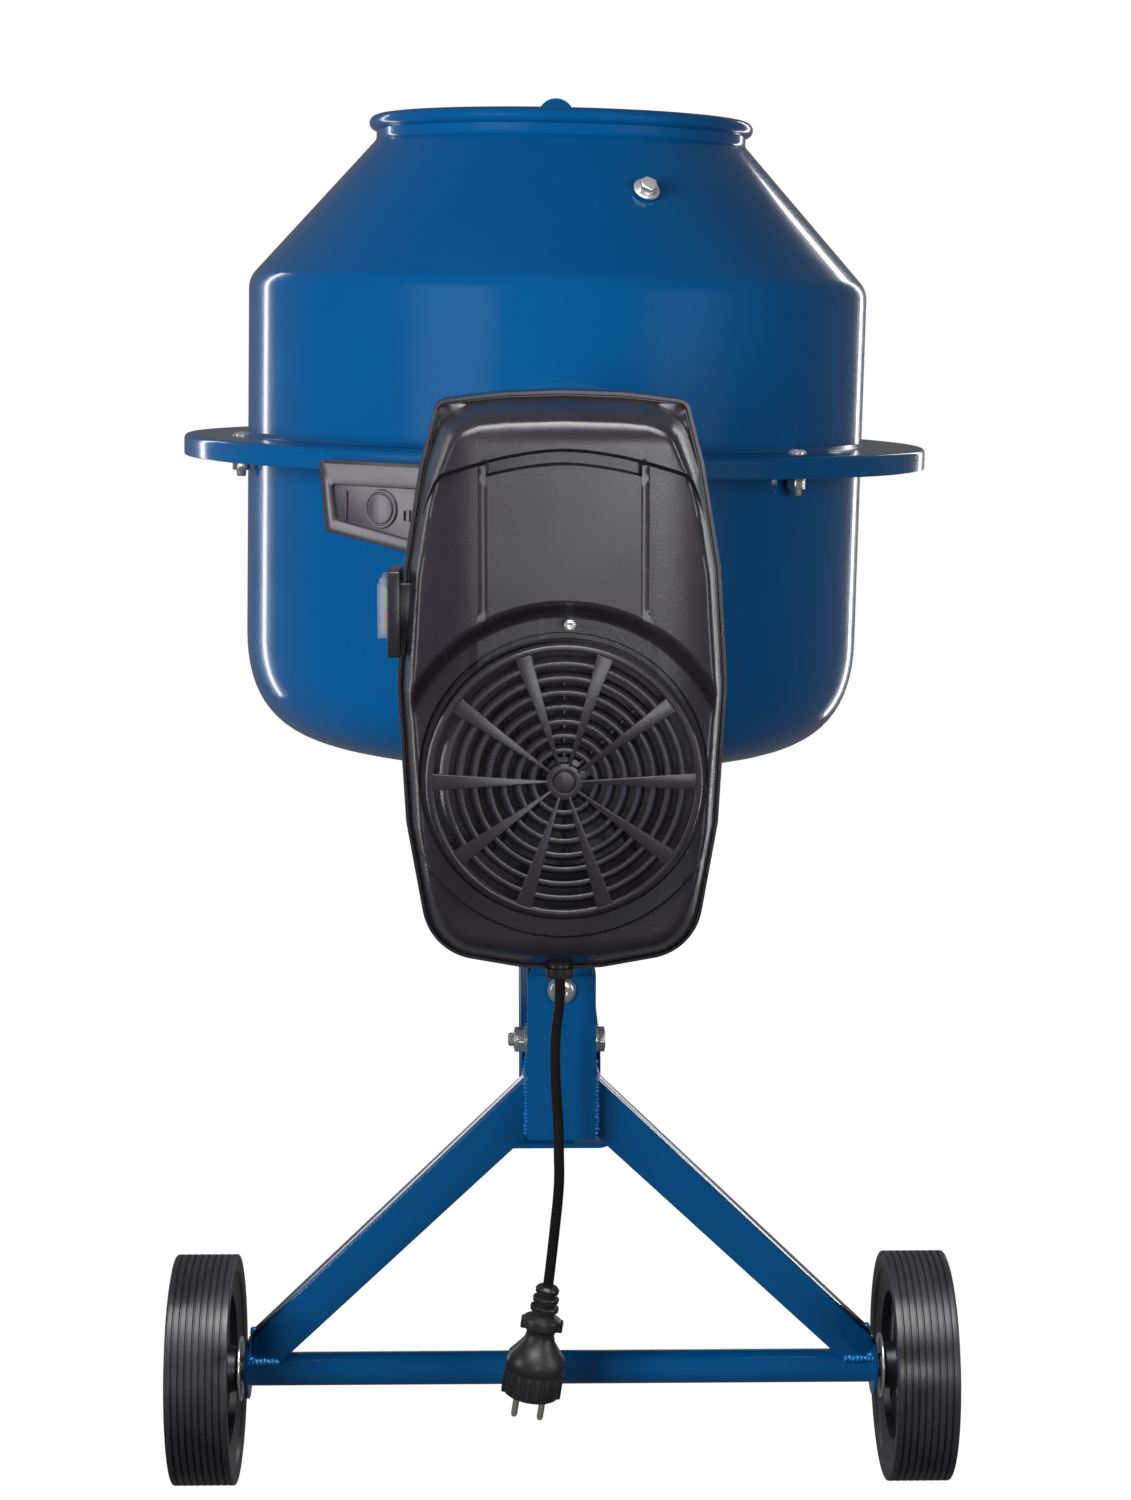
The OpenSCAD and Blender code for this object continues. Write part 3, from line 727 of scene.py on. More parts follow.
# The cord's middle from the gland to the plug, as the CAD model lays it, in millimetres from the drum's axis
CORD_ROUTE = [(-2, -438, 399.5), (-1.9, -438, 389.5), (-2.7, -437, 375.5), (-4.6, -436, 360.5),
              (-5.4, -436, 345.5), (-5.2, -435, 327.5), (-4, -434, 305.5), (-2.8, -434, 285.5),
              (-2.6, -434, 267.5), (-2.4, -434, 250.5), (-3.2, -434, 235.5), (-5, -434, 217.5),
              (-6.8, -434, 200.5), (-8.7, -434, 183.5), (-10.5, -434, 168.5)]
CORD_RADIUS = 0.0038
PLUG_LEAN = math.radians(9)


def cord_points():
    return [Vector((x / 1000, y / 1000 + DRUM_AXIS.y, z / 1000)) for x, y, z in CORD_ROUTE]


def plug_place():
    return Matrix.Translation(cord_points()[-1]) @ Matrix.Rotation(PLUG_LEAN, 4, "Y")


class MIXER_OT_cord(bpy.types.Operator):
    """Makes the power cord and its plug"""
    bl_idname = "mixer.cord"
    bl_label = "Power cord"

    def execute(self, context):
        curve = bpy.data.curves.new("power_lead", "CURVE")
        curve.dimensions = "3D"
        curve.bevel_depth = CORD_RADIUS
        curve.bevel_resolution = 6
        curve.resolution_u = 8
        curve.use_fill_caps = True
        points = cord_points()
        spline = curve.splines.new("BEZIER")
        spline.bezier_points.add(len(points) - 1)
        for knot, point in zip(spline.bezier_points, points):
            knot.co = point
            knot.handle_left_type = knot.handle_right_type = "AUTO"
        lead = bpy.data.objects.new("power_lead", curve)
        context.collection.objects.link(lead)
        curve.materials.append(finish("rubber"))
        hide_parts("power_cord")
        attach(lead, "frame")
        plug = self.plug()
        pins = self.pins()
        return {"FINISHED"}

    def plug(self):
        ridges = []
        for k in range(3):
            top = -0.0015 - 0.0068 * k
            wide = 0.0084 + 0.0009 * k
            ridges += [(wide, top), (wide + 0.0004, top - 0.0008), (wide, top - 0.0034),
                       (wide - 0.0019, top - 0.0042),
                       (wide - 0.0019, top - 0.0062)]
        body = [(0.0136, -0.0245), (0.0142, -0.026), (0.0138, -0.0315), (0.0108, -0.0335), (0.0102, -0.0365),
                (0.0115, -0.041), (0.016, -0.047), (0.0205, -0.0525), (0.0219, -0.057), (0.0219, -0.0615),
                (0.0214, -0.0632), (0.0205, -0.0638), (0.0205, -0.0805), (0.0198, -0.0828), (0.018, -0.084)]
        sleeve = revolved("plug_sleeve", [(0, 0), (0.0068, 0), *ridges, *body, (0, -0.084)], 64)
        grips = []
        for side in (-1, 1):
            wing = prism("wing", box_outline(0.0065, 0.006, 0.002), 0.009,
                         Matrix.Translation((side * 0.0122, 0, -0.0335)), 0.001)
            rib = prism("rib", box_outline(0.0052, 0.008, 0.0015), 0.0195,
                        Matrix.Translation((side * 0.0192, 0, -0.0833)), 0.0008)
            grips += [wing, rib]
        for k in range(6):
            angle = math.radians(40 + 20 * k)
            for side in (-1, 1):
                turn = Matrix.Rotation(side * angle, 4, "Z")
                grips.append(prism("ridge", box_outline(0.0012, 0.0026, 0.0004, 2), 0.016,
                                   turn @ Matrix.Translation((0.0205, 0, -0.0812)), 0.0003))
        plug = joined("mains_plug", [sleeve, *grips])
        plug.data.transform(plug_place())
        return dress(crease(plug), "frame", finish("rubber"), "rubber", "plug_body")

    def pins(self):
        outline = [(0, -0.084), (0.0024, -0.084), (0.0024, -0.0995), (0.0017, -0.1015), (0.0007, -0.102),
                   (0, -0.102)]
        parts = []
        for side in (-1, 1):
            pin = revolved("pin", outline, 32)
            pin.location.x = side * 0.0095
            parts.append(pin)
        context_update()
        pins = joined("mains_pins", parts)
        pins.data.transform(plug_place())
        return dress(crease(pins), "frame", finish("brass"), "brass", "plug_pins")


def context_update():
    bpy.context.view_layer.update()


# --- drum ------------------------------------------------------------------------------------

def leaned(piece):
    """Puts a piece built about its own upright axis at the drum's leaning axis."""
    piece.data.transform(LEANING @ Matrix.Translation(DRUM_AXIS))
    return piece


class MIXER_OT_drum(bpy.types.Operator):
    """Spins the drum's pan and cone with its rolled rim"""
    bl_idname = "mixer.drum"
    bl_label = "Drum"

    def execute(self, context):
        size = context.scene.mixer_drum
        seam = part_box("gear_cover")[1].z - 0.0105
        inner = size.radius - size.sheet
        pan = rounded([(0, self.floor(), 0), (size.radius, self.floor(), size.corner),
                       (size.radius, seam, 0), (inner, seam, 0),
                       (inner, self.floor() + size.sheet, size.corner - size.sheet),
                       (0, self.floor() + size.sheet, 0)], 18)
        dress(leaned(revolved("drum_pan_shell", pan, 192)), "drum", finish("blue_paint"), "blue_paint",
              "drum_pan")
        rim_z = self.rim()
        neck_z = rim_z - 0.0135
        outer = rounded([(size.radius, seam, 0), (size.radius, size.shoulder, 0.022),
                         (size.neck, neck_z, 0.006),
                         (size.neck, rim_z - 0.0055, 0)], 8)
        roll = [(size.neck + size.roll * math.cos(a), rim_z + size.roll * math.sin(a))
                for a in [math.radians(-80 + 20 * k) for k in range(17)]]
        lining = rounded([(size.neck - size.sheet, rim_z - 0.0055, 0),
                          (size.neck - size.sheet, neck_z, 0.005),
                          (inner, size.shoulder - 0.001, 0.02), (inner, seam, 0)], 8)
        cone = revolved("drum_cone_shell", [*outer, *roll, *lining], 192)
        dress(leaned(cone), "drum", finish("blue_paint"), "blue_paint", "drum_cone")
        return {"FINISHED"}

    def floor(self):
        return TILT.z - 0.211

    def rim(self):
        return TILT.z + 0.304


class MIXER_OT_gear_cover(bpy.types.Operator):
    """Spins the cover over the gear ring, with its lip and the fillet against the drum"""
    bl_idname = "mixer.gear_cover"
    bl_label = "Gear cover"

    def execute(self, context):
        wall = context.scene.mixer_drum.radius + 0.0002
        top = TILT.z + 0.046
        edge = 0.311
        outline = rounded([(wall, top - 0.0025, 0), (wall, top + 0.0035, 0), (wall + 0.0035, top, 0.003),
                           (edge, top, 0.0045), (edge, top - 0.017, 0.001),
                           (edge - 0.0025, top - 0.017, 0.001),
                           (edge - 0.0025, top - 0.0025, 0.003)], 6)
        cover = leaned(revolved("gear_ring_cover", outline, 192))
        dress(cover, "drum", finish("blue_paint"), "blue_paint", "gear_cover")
        return {"FINISHED"}


class MIXER_OT_gear_ring(bpy.types.Operator):
    """Casts the toothed ring, teeth repeated round the axis"""
    bl_idname = "mixer.gear_ring"
    bl_label = "Gear ring"

    def execute(self, context):
        teeth = 116
        step = math.tau / teeth
        pitch = TILT.z + 0.030
        base = revolved("base", rounded([(0.262, pitch + 0.005, 0.001), (0.303, pitch + 0.005, 0.001),
                                         (0.303, pitch + 0.013, 0.001), (0.262, pitch + 0.013, 0.001)], 3),
                                         192)
        flank = [(-0.0052, 0.0005), (-0.0034, -0.005), (-0.0026, -0.0063), (0.0026, -0.0063),
                 (0.0034, -0.005),
                 (0.0052, 0.0005)]
        place = Matrix(((0, 0, 1, 0.279), (1, 0, 0, 0), (0, 1, 0, pitch + 0.005), (0, 0, 0, 1)))
        tooth = prism("tooth", flank, 0.022, place)
        start = -math.pi / 2 + step / 2
        teeth_piece = ring_tree(finish("cast_iron")).apply(tooth, Count=teeth, Step=step, Start=start)
        ring = joined("cast_gear_ring", [base, teeth_piece])
        dress(leaned(crease(ring)), "drum", finish("cast_iron"), "cast_iron", "gear_segments")
        return {"FINISHED"}


class MIXER_OT_drum_bolts(bpy.types.Operator):
    """Makes the ring screws with flange nuts and the blade bolts through the cone and the wall"""
    bl_idname = "mixer.drum_bolts"
    bl_label = "Drum bolts"

    def execute(self, context):
        step = math.tau / 116
        first = -math.pi / 2 + 24 * step + math.radians(30)
        stud = self.ring_stud()
        stud.data.transform(Matrix.Translation((0.267, 0, 0)))
        studs = ring_tree(finish("zinc")).apply(stud, Count=6, Step=math.radians(60), Start=first)
        dress(leaned(studs), "drum", finish("zinc"), "zinc", "ring_bolts")
        blades = []
        for turn in (-71, 109):
            spin = Matrix.Rotation(math.radians(turn), 4, "Z")
            tilt = Matrix.Rotation(math.radians(49.3), 4, "Y")
            cone = hex_bolt("cone_bolt", 0.013, 0.0065, 0.004, 0.017, 0.0105)
            cone.data.transform(spin @ Matrix.Translation((0.1964, 0, TILT.z + 0.246)) @ tilt
                                @ Matrix.Translation((0, 0, 0.0002)))
            wall = hex_bolt("wall_bolt", 0.013, 0.005, 0.004, 0.02)
            wall.data.transform(spin @ Matrix.Translation((0.258, 0, TILT.z - 0.074))
                                @ Matrix.Rotation(math.pi / 2, 4, "Y"))
            blades += [cone, wall]
        dress(leaned(crease(joined("blade_bolt_set", blades))), "drum", finish("zinc"), "zinc", "blade_bolts")
        return {"FINISHED"}

    def ring_stud(self):
        """A button-head screw down through the ring with a flange nut below it."""
        pitch = TILT.z + 0.030
        top = TILT.z + 0.046
        button = revolved("button", [(0, top), (0.0072, top), (0.007, top + 0.0012), (0.0052, top + 0.0028),
                                     (0.0025, top + 0.0031), (0.0022, top + 0.0012), (0, top + 0.0012)], 32)
        shank = revolved("shank", [(0, pitch - 0.017), (0.0034, pitch - 0.017), (0.004, pitch - 0.0155),
                                   (0.004, pitch + 0.01), (0, pitch + 0.01)], 24)
        flange = revolved("flange", rounded([(0.004, pitch - 0.004, 0), (0.007, pitch - 0.004, 0.001),
                                             (0.0085, pitch - 0.001, 0.0004),
                                             (0.0085, pitch + 0.0048, 0.0004),
                                             (0.004, pitch + 0.0048, 0)], 2), 32)
        nut = prism("nut", hexagon(0.013), 0.0085, Matrix.Translation((0, 0, pitch - 0.012)), 0.0008)
        return joined("ring_screw_set", [button, shank, flange, nut])


# --- motor housing ---------------------------------------------------------------------------

def ramp(low, high, x):
    """Smooth step from 0 at low to 1 at high, also where low is above high."""
    t = min(max((x - low) / (high - low), 0.0), 1.0)
    return t * t * (3 - 2 * t)


def case_outline(samples, inset=0.0):
    """The housing's outline as seen from the front: (x, z) points in millimetres, evenly spaced. Where it is
    inset, as at the foot of the cover's wall, its upper corners are rounder."""
    corner = (62, 778.5, 27 + inset) if inset else (80.5, 801, 9.5)
    rounds = [(side * x, z, r - inset) for side in (-1, 1)
              for x, z, r in ((0, 806.7, 10), (40, 805.4, 10), (60, 803.2, 10), corner, (86.5, 760, 14),
                              (98, 690, 14),
                              (103, 610, 14), (97.5, 512, 14), (58, 454, 43), (27, 415, 10), (0, 414, 10))]
    cloud = [Vector((x + r * math.cos(math.tau * k / 96), z + r * math.sin(math.tau * k / 96)))
             for x, z, r in rounds for k in range(96)]
    corners = [cloud[index] for index in convex_hull_2d(cloud)]
    steps = [(b - a).length for a, b in zip(corners, corners[1:] + corners[:1])]
    total = sum(steps)
    points, index, walked = [], 0, 0.0
    for sample in range(samples):
        target = total * sample / samples
        while walked + steps[index] < target:
            walked += steps[index]
            index += 1
        after = corners[(index + 1) % len(corners)]
        points.append(corners[index].lerp(after, (target - walked) / steps[index]))
    return points


GRILLE_Z = 552
FLANGE = 5.0                   # from the housing's outline to the foot of the cover's wall
RIM_RINGS = (0.3, 0.6, 0.9, 3.0, 3.25, 3.5, 3.75, 4.5, 4.75)
WALL_RINGS = (0, 0.3, 0.7, 1.2, 1.8, 2.5, 3.3, 4.2, 5.2, 6.3, 7.5, 9, 10.5, 12, 14, 16, 18.5, 21, 24)
STEPS_OVER = (0, 0.2, 0.4, 0.6, 0.8, 1)


def hood_edge(x):
    """Height of the hood's lower edge, in millimetres."""
    across = abs(x)
    return 776.5 - 18 * (across / 86) ** 1.7 - 22 * (max(across - 82, 0) / 14) ** 2


def shoulder(z):
    """Distance of the raised panel's shoulders from the centre, in mm; they step out over the ledge."""
    return 55.2 + 7 * ramp(670, 646, z)


def case_depth(x, z, rim, wall):
    """How far the cover stands forward of its seam, in millimetres.

    rim and wall are the distances inwards from the outline and from the foot of the wall.
    """
    across = abs(x)
    reach = math.hypot(x, z - GRILLE_Z)
    above = ramp(530, 575, z)
    upper = ramp(111, 123, reach) * above
    hood = ramp(hood_edge(x) - 1, hood_edge(x) + 2, z)
    proud = 1 - min(max((across - shoulder(z) + 2.8) / 5.6, 0), 1)
    inside = 1 - ramp(51, 53, across)
    level = 62 - 7 * min(max((across - 60) / 42, 0), 1) ** 2
    level += 11 * upper - 7 * ramp(112, 115, reach) * (1 - above) + 6 * hood
    level += proud * (1 - hood) * above * (0.8 + 2.8 * upper)
    level -= 11 * hood * min(max((z - 779) / 32, 0), 1) ** 2
    level -= inside * (1 - hood) * upper * 16 * ramp(hood_edge(x) - 9.5, hood_edge(x) - 8, z)
    level += 0.7 * (1 - ramp(0, 1.4, across)) * ramp(442, 434, z)
    level -= 3.5 * ramp(95.6, 96.4, reach) * (1 - ramp(99.6, 100.6, reach))
    recess = 1 - ramp(94.8, 95.4, reach)
    level = level * (1 - recess) + 48 * recess
    flange = 11 * ramp(0, 0.9, rim) - 3.2 * (ramp(3.0, 3.75, rim) - ramp(4.5, 5.0, rim))
    width = 10 + 8 * ramp(730, 800, z) + 15 * ramp(480, 415, z)
    climb = min(max(wall / width, 0), 1)
    return flange + (level - 11) * (1 - (1 - climb) ** 2.4)


def inward_of(outline, points):
    """Distances of points inwards from a convex outline that runs anticlockwise."""
    edge = numpy.array([tuple(point) for point in outline])
    normals = edge_normals(edge)
    places = numpy.array(points, float).reshape(-1, 2)
    return (places @ normals.T - (edge * normals).sum(1)[None]).min(1)


def edge_normals(edge):
    along = numpy.roll(edge, -1, axis=0) - edge
    return numpy.stack([-along[:, 1], along[:, 0]], 1) / numpy.hypot(along[:, 0], along[:, 1])[:, None]


class Field:
    """Feature lines of the cover's front, and the triangulation that keeps to them."""

    def __init__(self, outline):
        self.outline = outline
        self.points, self.links = [], []
        self.line(outline, -1, closed=True)

    def inward(self, points):
        return inward_of(self.outline, points)

    def rings(self, outline, insets, least):
        """Adds lines at set distances inside an outline."""
        normals = edge_normals(numpy.array([tuple(point) for point in outline]))
        for inset in insets:
            ring = [point + Vector(normal) * inset for point, normal in zip(outline, normals)]
            kept = inward_of(outline, [tuple(point) for point in ring]) > inset - 0.2
            self.line([point for point, keep in zip(ring, kept) if keep], least, closed=True)

    def line(self, points, least, closed=False):
        """Adds a feature line, leaving out what lies nearer to the outline than least."""
        kept = self.inward([tuple(point) for point in points]) > least
        first = len(self.points)
        numbers = {}
        for index, point in enumerate(points):
            if kept[index]:
                numbers[index] = len(self.points)
                self.points.append(Vector((point[0], point[1])))
        for index in range(len(points) - (0 if closed else 1)):
            after = (index + 1) % len(points)
            if index in numbers and after in numbers:
                self.links.append((numbers[index], numbers[after]))
        return first

    def mesh(self):
        """(points, faces) of the front, in millimetres."""
        cut = delaunay_2d_cdt(self.points, self.links, [], 0, 1e-4)
        flat, faces = cut[0], cut[2]
        return [tuple(point) for point in flat], [tuple(face) for face in faces]


class MIXER_OT_cover(bpy.types.Operator):
    """Moulds the housing's front cover: rim, hood, panel, strips, ledge and apron"""
    bl_idname = "mixer.cover"
    bl_label = "Front cover"

    def execute(self, context):
        outline, foot = case_outline(520), case_outline(520, FLANGE)
        field = Field(outline)
        field.rings(outline, RIM_RINGS, -1)
        field.rings(foot, WALL_RINGS, 4.7)
        for start, end in ((94.8, 95.4), (95.6, 96.4), (99.6, 100.6), (107, 111), (111, 123), (123, 127)):
            for share in STEPS_OVER:
                self.circle_line(field, start + (end - start) * share, start > 105)
        for share in STEPS_OVER:
            self.circle_line(field, 112 + 3 * share, False, True)
        columns = [-97 + 1.0 * k for k in range(195)]
        for offset in (-11, -9.5, -9.1, -8.6, -8, -1, -0.4, 0.2, 0.8, 1.4, 2, 3.5):
            field.line([(x, hood_edge(x) + offset) for x in columns], 7)
        heights = [628 + 2.0 * k for k in range(71)]
        for side in (-1, 1):
            for offset in (-3.4, -2.8, 2.8, 3.4):
                field.line([(side * (shoulder(z) + offset), z) for z in heights if z < hood_edge(55) + 2], 5)
            for across in (51, 51.5, 52, 52.5, 53):
                field.line([(side * across, z) for z in range(754, 772, 2)], 5)
        for x in (-1.4, -0.7, 0, 0.7, 1.4):
            field.line([(x, z) for z in range(408, 444, 2)], 5)
        self.fill(field)
        flat, faces = field.mesh()
        rims, walls = inward_of(outline, flat), inward_of(foot, flat)
        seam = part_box("front_cover")[1].y
        points = [(x / 1000, seam - case_depth(x, z, max(rim, 0), wall) / 1000, z / 1000)
                  for (x, z), rim, wall in zip(flat, rims, walls)]
        front = mesh_piece("front", points, faces)
        count = len(outline)
        back_rows = []
        for inset, depth in ((0, 0.0), (2.5, 0.0), (2.5, 0.008)):
            shrink = 1 - inset / 110
            back_rows.append([(x * shrink / 1000, seam - depth, (600 + (z - 600) * shrink) / 1000)
                              for x, z in outline])
        back = mesh_piece("back", [point for row in back_rows for point in row],
                          [(row * count + k, row * count + (k + 1) % count,
                            (row + 1) * count + (k + 1) % count,
                            (row + 1) * count + k) for row in range(2) for k in range(count)]
                          + [tuple(range(2 * count, 3 * count))])
        cover = crease(outward(joined("housing_cover", [front, back])), 33)
        dress(cover, "frame", finish("black_plastic"), "black_plastic", "front_cover")
        return {"FINISHED"}

    def circle_line(self, field, radius, upper_only, lower_only=False):
        count = round(math.tau * radius / 1.9)
        ring = [(radius * math.cos(math.tau * k / count), GRILLE_Z + radius * math.sin(math.tau * k / count))
                for k in range(count)]
        if upper_only or lower_only:
            turned = sorted(ring, key=lambda point: math.atan2(point[1] - GRILLE_Z, point[0]))
            ring = [point for point in turned if (point[1] > GRILLE_Z) == upper_only]
        field.line(ring, 6, closed=not (upper_only or lower_only))

    def fill(self, field):
        """Adds plain points between the feature lines."""
        lined = numpy.array([tuple(point) for point in field.points])
        grid = numpy.array([(x, z) for x in numpy.arange(-116, 117, 3.4)
                            for z in numpy.arange(406, 816, 3.4)])
        grid = grid[field.inward(grid) > FLANGE + WALL_RINGS[-1] + 1.5]
        for x, z in grid:
            if ((lined[:, 0] - x) ** 2 + (lined[:, 1] - z) ** 2).min() > 1.6:
                field.points.append(Vector((x, z)))


class MIXER_OT_tray(bpy.types.Operator):
    """Moulds the housing's rear tray with its proud seam line"""
    bl_idname = "mixer.tray"
    bl_label = "Rear tray"

    def execute(self, context):
        outline = case_outline(240)
        low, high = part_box("rear_tray")
        rows = [(low.y + 0.0002, 6), (low.y + 0.0002, 1.6), (low.y + 0.0026, 1.6), (low.y + 0.003, 0),
                (high.y - 0.003, 0),
                (high.y - 0.0008, 0.8), (high.y, 3.2)]
        rings = []
        for y, inset in rows:
            shrink = 1 - inset / 118
            rings.append([(x * shrink / 1000, y, (600 + (z - 600) * shrink) / 1000) for x, z in outline])
        tray = crease(loft("housing_tray", rings), 35)
        dress(tray, "frame", finish("black_plastic"), "black_plastic", "rear_tray")
        return {"FINISHED"}


class MIXER_OT_grille(bpy.types.Operator):
    """Makes the round fan grille: rim, hub, tapered spokes and slanted slats"""
    bl_idname = "mixer.grille"
    bl_label = "Fan grille"

    def execute(self, context):
        size = context.scene.mixer_grille
        material = finish("black_plastic")
        face = 0.0035
        step = math.tau / size.spokes
        ring = revolved("rim", rounded([(0.0894, -0.006, 0), (0.0894, face - 0.0006, 0.0012),
                                        (0.0915, face, 0.001),
                                        (0.0938, face - 0.0008, 0.0014), (0.0948, face - 0.004, 0.001),
                                        (0.0948, -0.006, 0)], 4), 160)
        hub = revolved("hub", rounded([(0, -0.005, 0), (0.0125, -0.005, 0), (0.0125, face - 0.0004, 0.001),
                                       (0.0082, face - 0.0002, 0.0003), (0.0078, face - 0.0012, 0.0003),
                                       (0.0072, face - 0.0012, 0.0003), (0.0068, face, 0.0004),
                                       (0, face, 0)], 3), 64)
        spoke = prism("spoke", [(0.011, -0.0008), (0.09, -0.0057), (0.09, 0.0057), (0.011, 0.0008)], 0.0065,
                      Matrix.Translation((0, 0, face - 0.0065)), 0.0005)
        repeat = ring_tree(material)
        spokes = repeat.apply(spoke, Count=size.spokes, Step=step, Start=0.0)
        slats = [self.slat(size, 0.0213 + size.pitch * k, face) for k in range(size.rings - 1)]
        grille = joined("fan_grille_face", [ring, hub, spokes, *slats])
        centre = Vector((0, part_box("fan_grille")[0].y + 0.0035, GRILLE_Z / 1000))
        grille.data.transform(facing(centre, centre + Vector((0, -1, 0))))
        dress(crease(grille), "frame", material, "black_plastic", "fan_grille")
        return {"FINISHED"}

    def slat(self, size, r, face):
        """One ring with a rounded nose and a fin slanting back and outwards."""
        half = size.slat / 2
        section = rounded([(r - half, face - 0.0032, 0), (r - half, face - 0.0006, 0.0009),
                           (r + half, face - 0.0006, 0.0009), (r + half + 0.0034, face - 0.0085, 0.0004),
                           (r + half + 0.0016, face - 0.0092, 0.0004)], 3)
        return revolved("slat", section, 144)


# --- small mouldings on the housing ----------------------------------------------------------

class MIXER_OT_gland(bpy.types.Operator):
    """Makes the cord's grip under the housing"""
    bl_idname = "mixer.gland"
    bl_label = "Cord grip"

    def execute(self, context):
        low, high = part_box("cable_gland")
        centre = middle("cable_gland")
        tall = high.z - low.z
        collar = revolved("collar", rounded([(0.0039, 0, 0), (0.0102, 0, 0.001), (0.0106, 0.0072, 0.0008),
                                             (0.008, 0.0076, 0.0003), (0.0078, tall, 0), (0.0039, tall, 0)],
                                             3), 48)
        nut = prism("nut", hexagon(0.019), 0.007, Matrix.Translation((0, 0, 0.0105)), 0.0006)
        gland = joined("cord_grip", [collar, nut])
        gland.data.transform(Matrix.Translation((centre.x, centre.y, low.z)))
        dress(crease(gland), "frame", finish("rubber"), "black_plastic", "cable_gland")
        return {"FINISHED"}


class MIXER_OT_guard(bpy.types.Operator):
    """Moulds the guard over the pinion: framed plate, round boss, slots and top lip"""
    bl_idname = "mixer.guard"
    bl_label = "Pinion guard"

    def execute(self, context):
        turn = LEANING @ Matrix.Translation(DRUM_AXIS) @ Matrix.Rotation(math.radians(-33), 4, "Z")
        flat = turn @ Matrix.Translation((0, -0.316, 0)) @ Matrix.Rotation(math.pi / 2, 4, "X")
        outer = [(-0.003, 0.757), (0.112, 0.757), (0.112, 0.690), (0.092, 0.690), (0.004, 0.703)]
        inner = [(0.009, 0.7385), (0.109, 0.7385), (0.109, 0.699), (0.092, 0.699), (0.0135, 0.7125)]
        outer = rounded([(x, z, 0.0045) for x, z in outer], 4)
        inner = rounded([(x, z, 0.0025) for x, z in inner], 4)
        plate = prism("plate", outer, 0.0105, Matrix(), 0.0012)
        levels = ((outer, 0.010), (outer, 0.013), (inner, 0.013), (inner, 0.010))
        rim = loft("rim", [[(x, z, y) for x, z in ring] for ring, y in levels], caps=False)
        rim = bevelled(self.closed(rim, levels), 0.0007, 2)
        lip = prism("lip", [(0.0015, 0.7535), (0.112, 0.7535), (0.112, 0.757), (0.0015, 0.757)], 0.0128,
                    Matrix.Translation((0, 0, 0.0002)), 0.0008)
        boss = revolved("boss", rounded([(0, 0.010, 0), (0.0148, 0.010, 0), (0.0142, 0.0122, 0.0006),
                                         (0.0126, 0.0122, 0.0004),
                                         (0.0122, 0.0112, 0.0003), (0.0112, 0.0112, 0.0003),
                                         (0.0108, 0.0126, 0.0004),
                                         (0, 0.0128, 0)], 3), 64)
        boss.data.transform(Matrix.Translation((0.054, 0.7225, 0)))
        window = self.frame_of(0.0055, 0.0085, 0.0012, 0.0022, (0.0775, 0.7185, 0.0101))
        step = prism("step", [(0.0215, 0.7345), (0.0228, 0.7345), (0.0228, 0.712), (0.0215, 0.712)], 0.002,
                     Matrix.Translation((0, 0, 0.0102)), 0.0004)
        fins = [prism("fin", [(x, 0.754), (x + 0.0016, 0.754), (x + 0.0016, 0.7385), (x, 0.7385)], 0.0025,
                      Matrix.Translation((0, 0, 0.0104)), 0.0004) for x in (0.0015, 0.0055)]
        guard = joined("pinion_guard", [plate, rim, lip, boss, window, step, *fins])
        guard.data.transform(flat)
        tab = prism("tab", [(-0.088, 0.690), (-0.025, 0.690), (-0.025, 0.730), (-0.088, 0.730)], 0.008,
                    LEANING @ Matrix.Translation(DRUM_AXIS + Vector((0, -0.328, 0)))
                    @ Matrix.Rotation(math.pi / 2, 4, "X"), 0.001)
        guard = crease(joined("pinion_guard", [guard, tab]))
        # the guard takes the lightened copy of the housing plastic, painted light
        dress(guard, "yoke", finish("guard_plastic"), "black_plastic", "gear_guard")
        return {"FINISHED"}

    def closed(self, piece, levels):
        """Joins the last ring of a frame to its first."""
        count = len(levels[0][0])
        work = bmesh.new()
        work.from_mesh(piece.data)
        work.verts.ensure_lookup_table()
        for index in range(count):
            after = (index + 1) % count
            last = (len(levels) - 1) * count
            work.faces.new([work.verts[last + index], work.verts[last + after], work.verts[after],
                            work.verts[index]])
        bmesh.ops.recalc_face_normals(work, faces=work.faces)
        work.to_mesh(piece.data)
        work.free()
        return piece

    def frame_of(self, width, height, wall, proud, place):
        """A small raised window frame."""
        outer = [tuple(point) for point in box_outline(width, height, 0.0003, 2)]
        inner = [(x * (1 - wall / width), z * (1 - wall / height)) for x, z in outer]
        levels = ((outer, 0.0), (outer, proud), (inner, proud), (inner, 0.0))
        frame_piece = loft("window", [[(x, z, y) for x, z in ring] for ring, y in levels], caps=False)
        self.closed(frame_piece, levels).data.transform(Matrix.Translation(place))
        return frame_piece


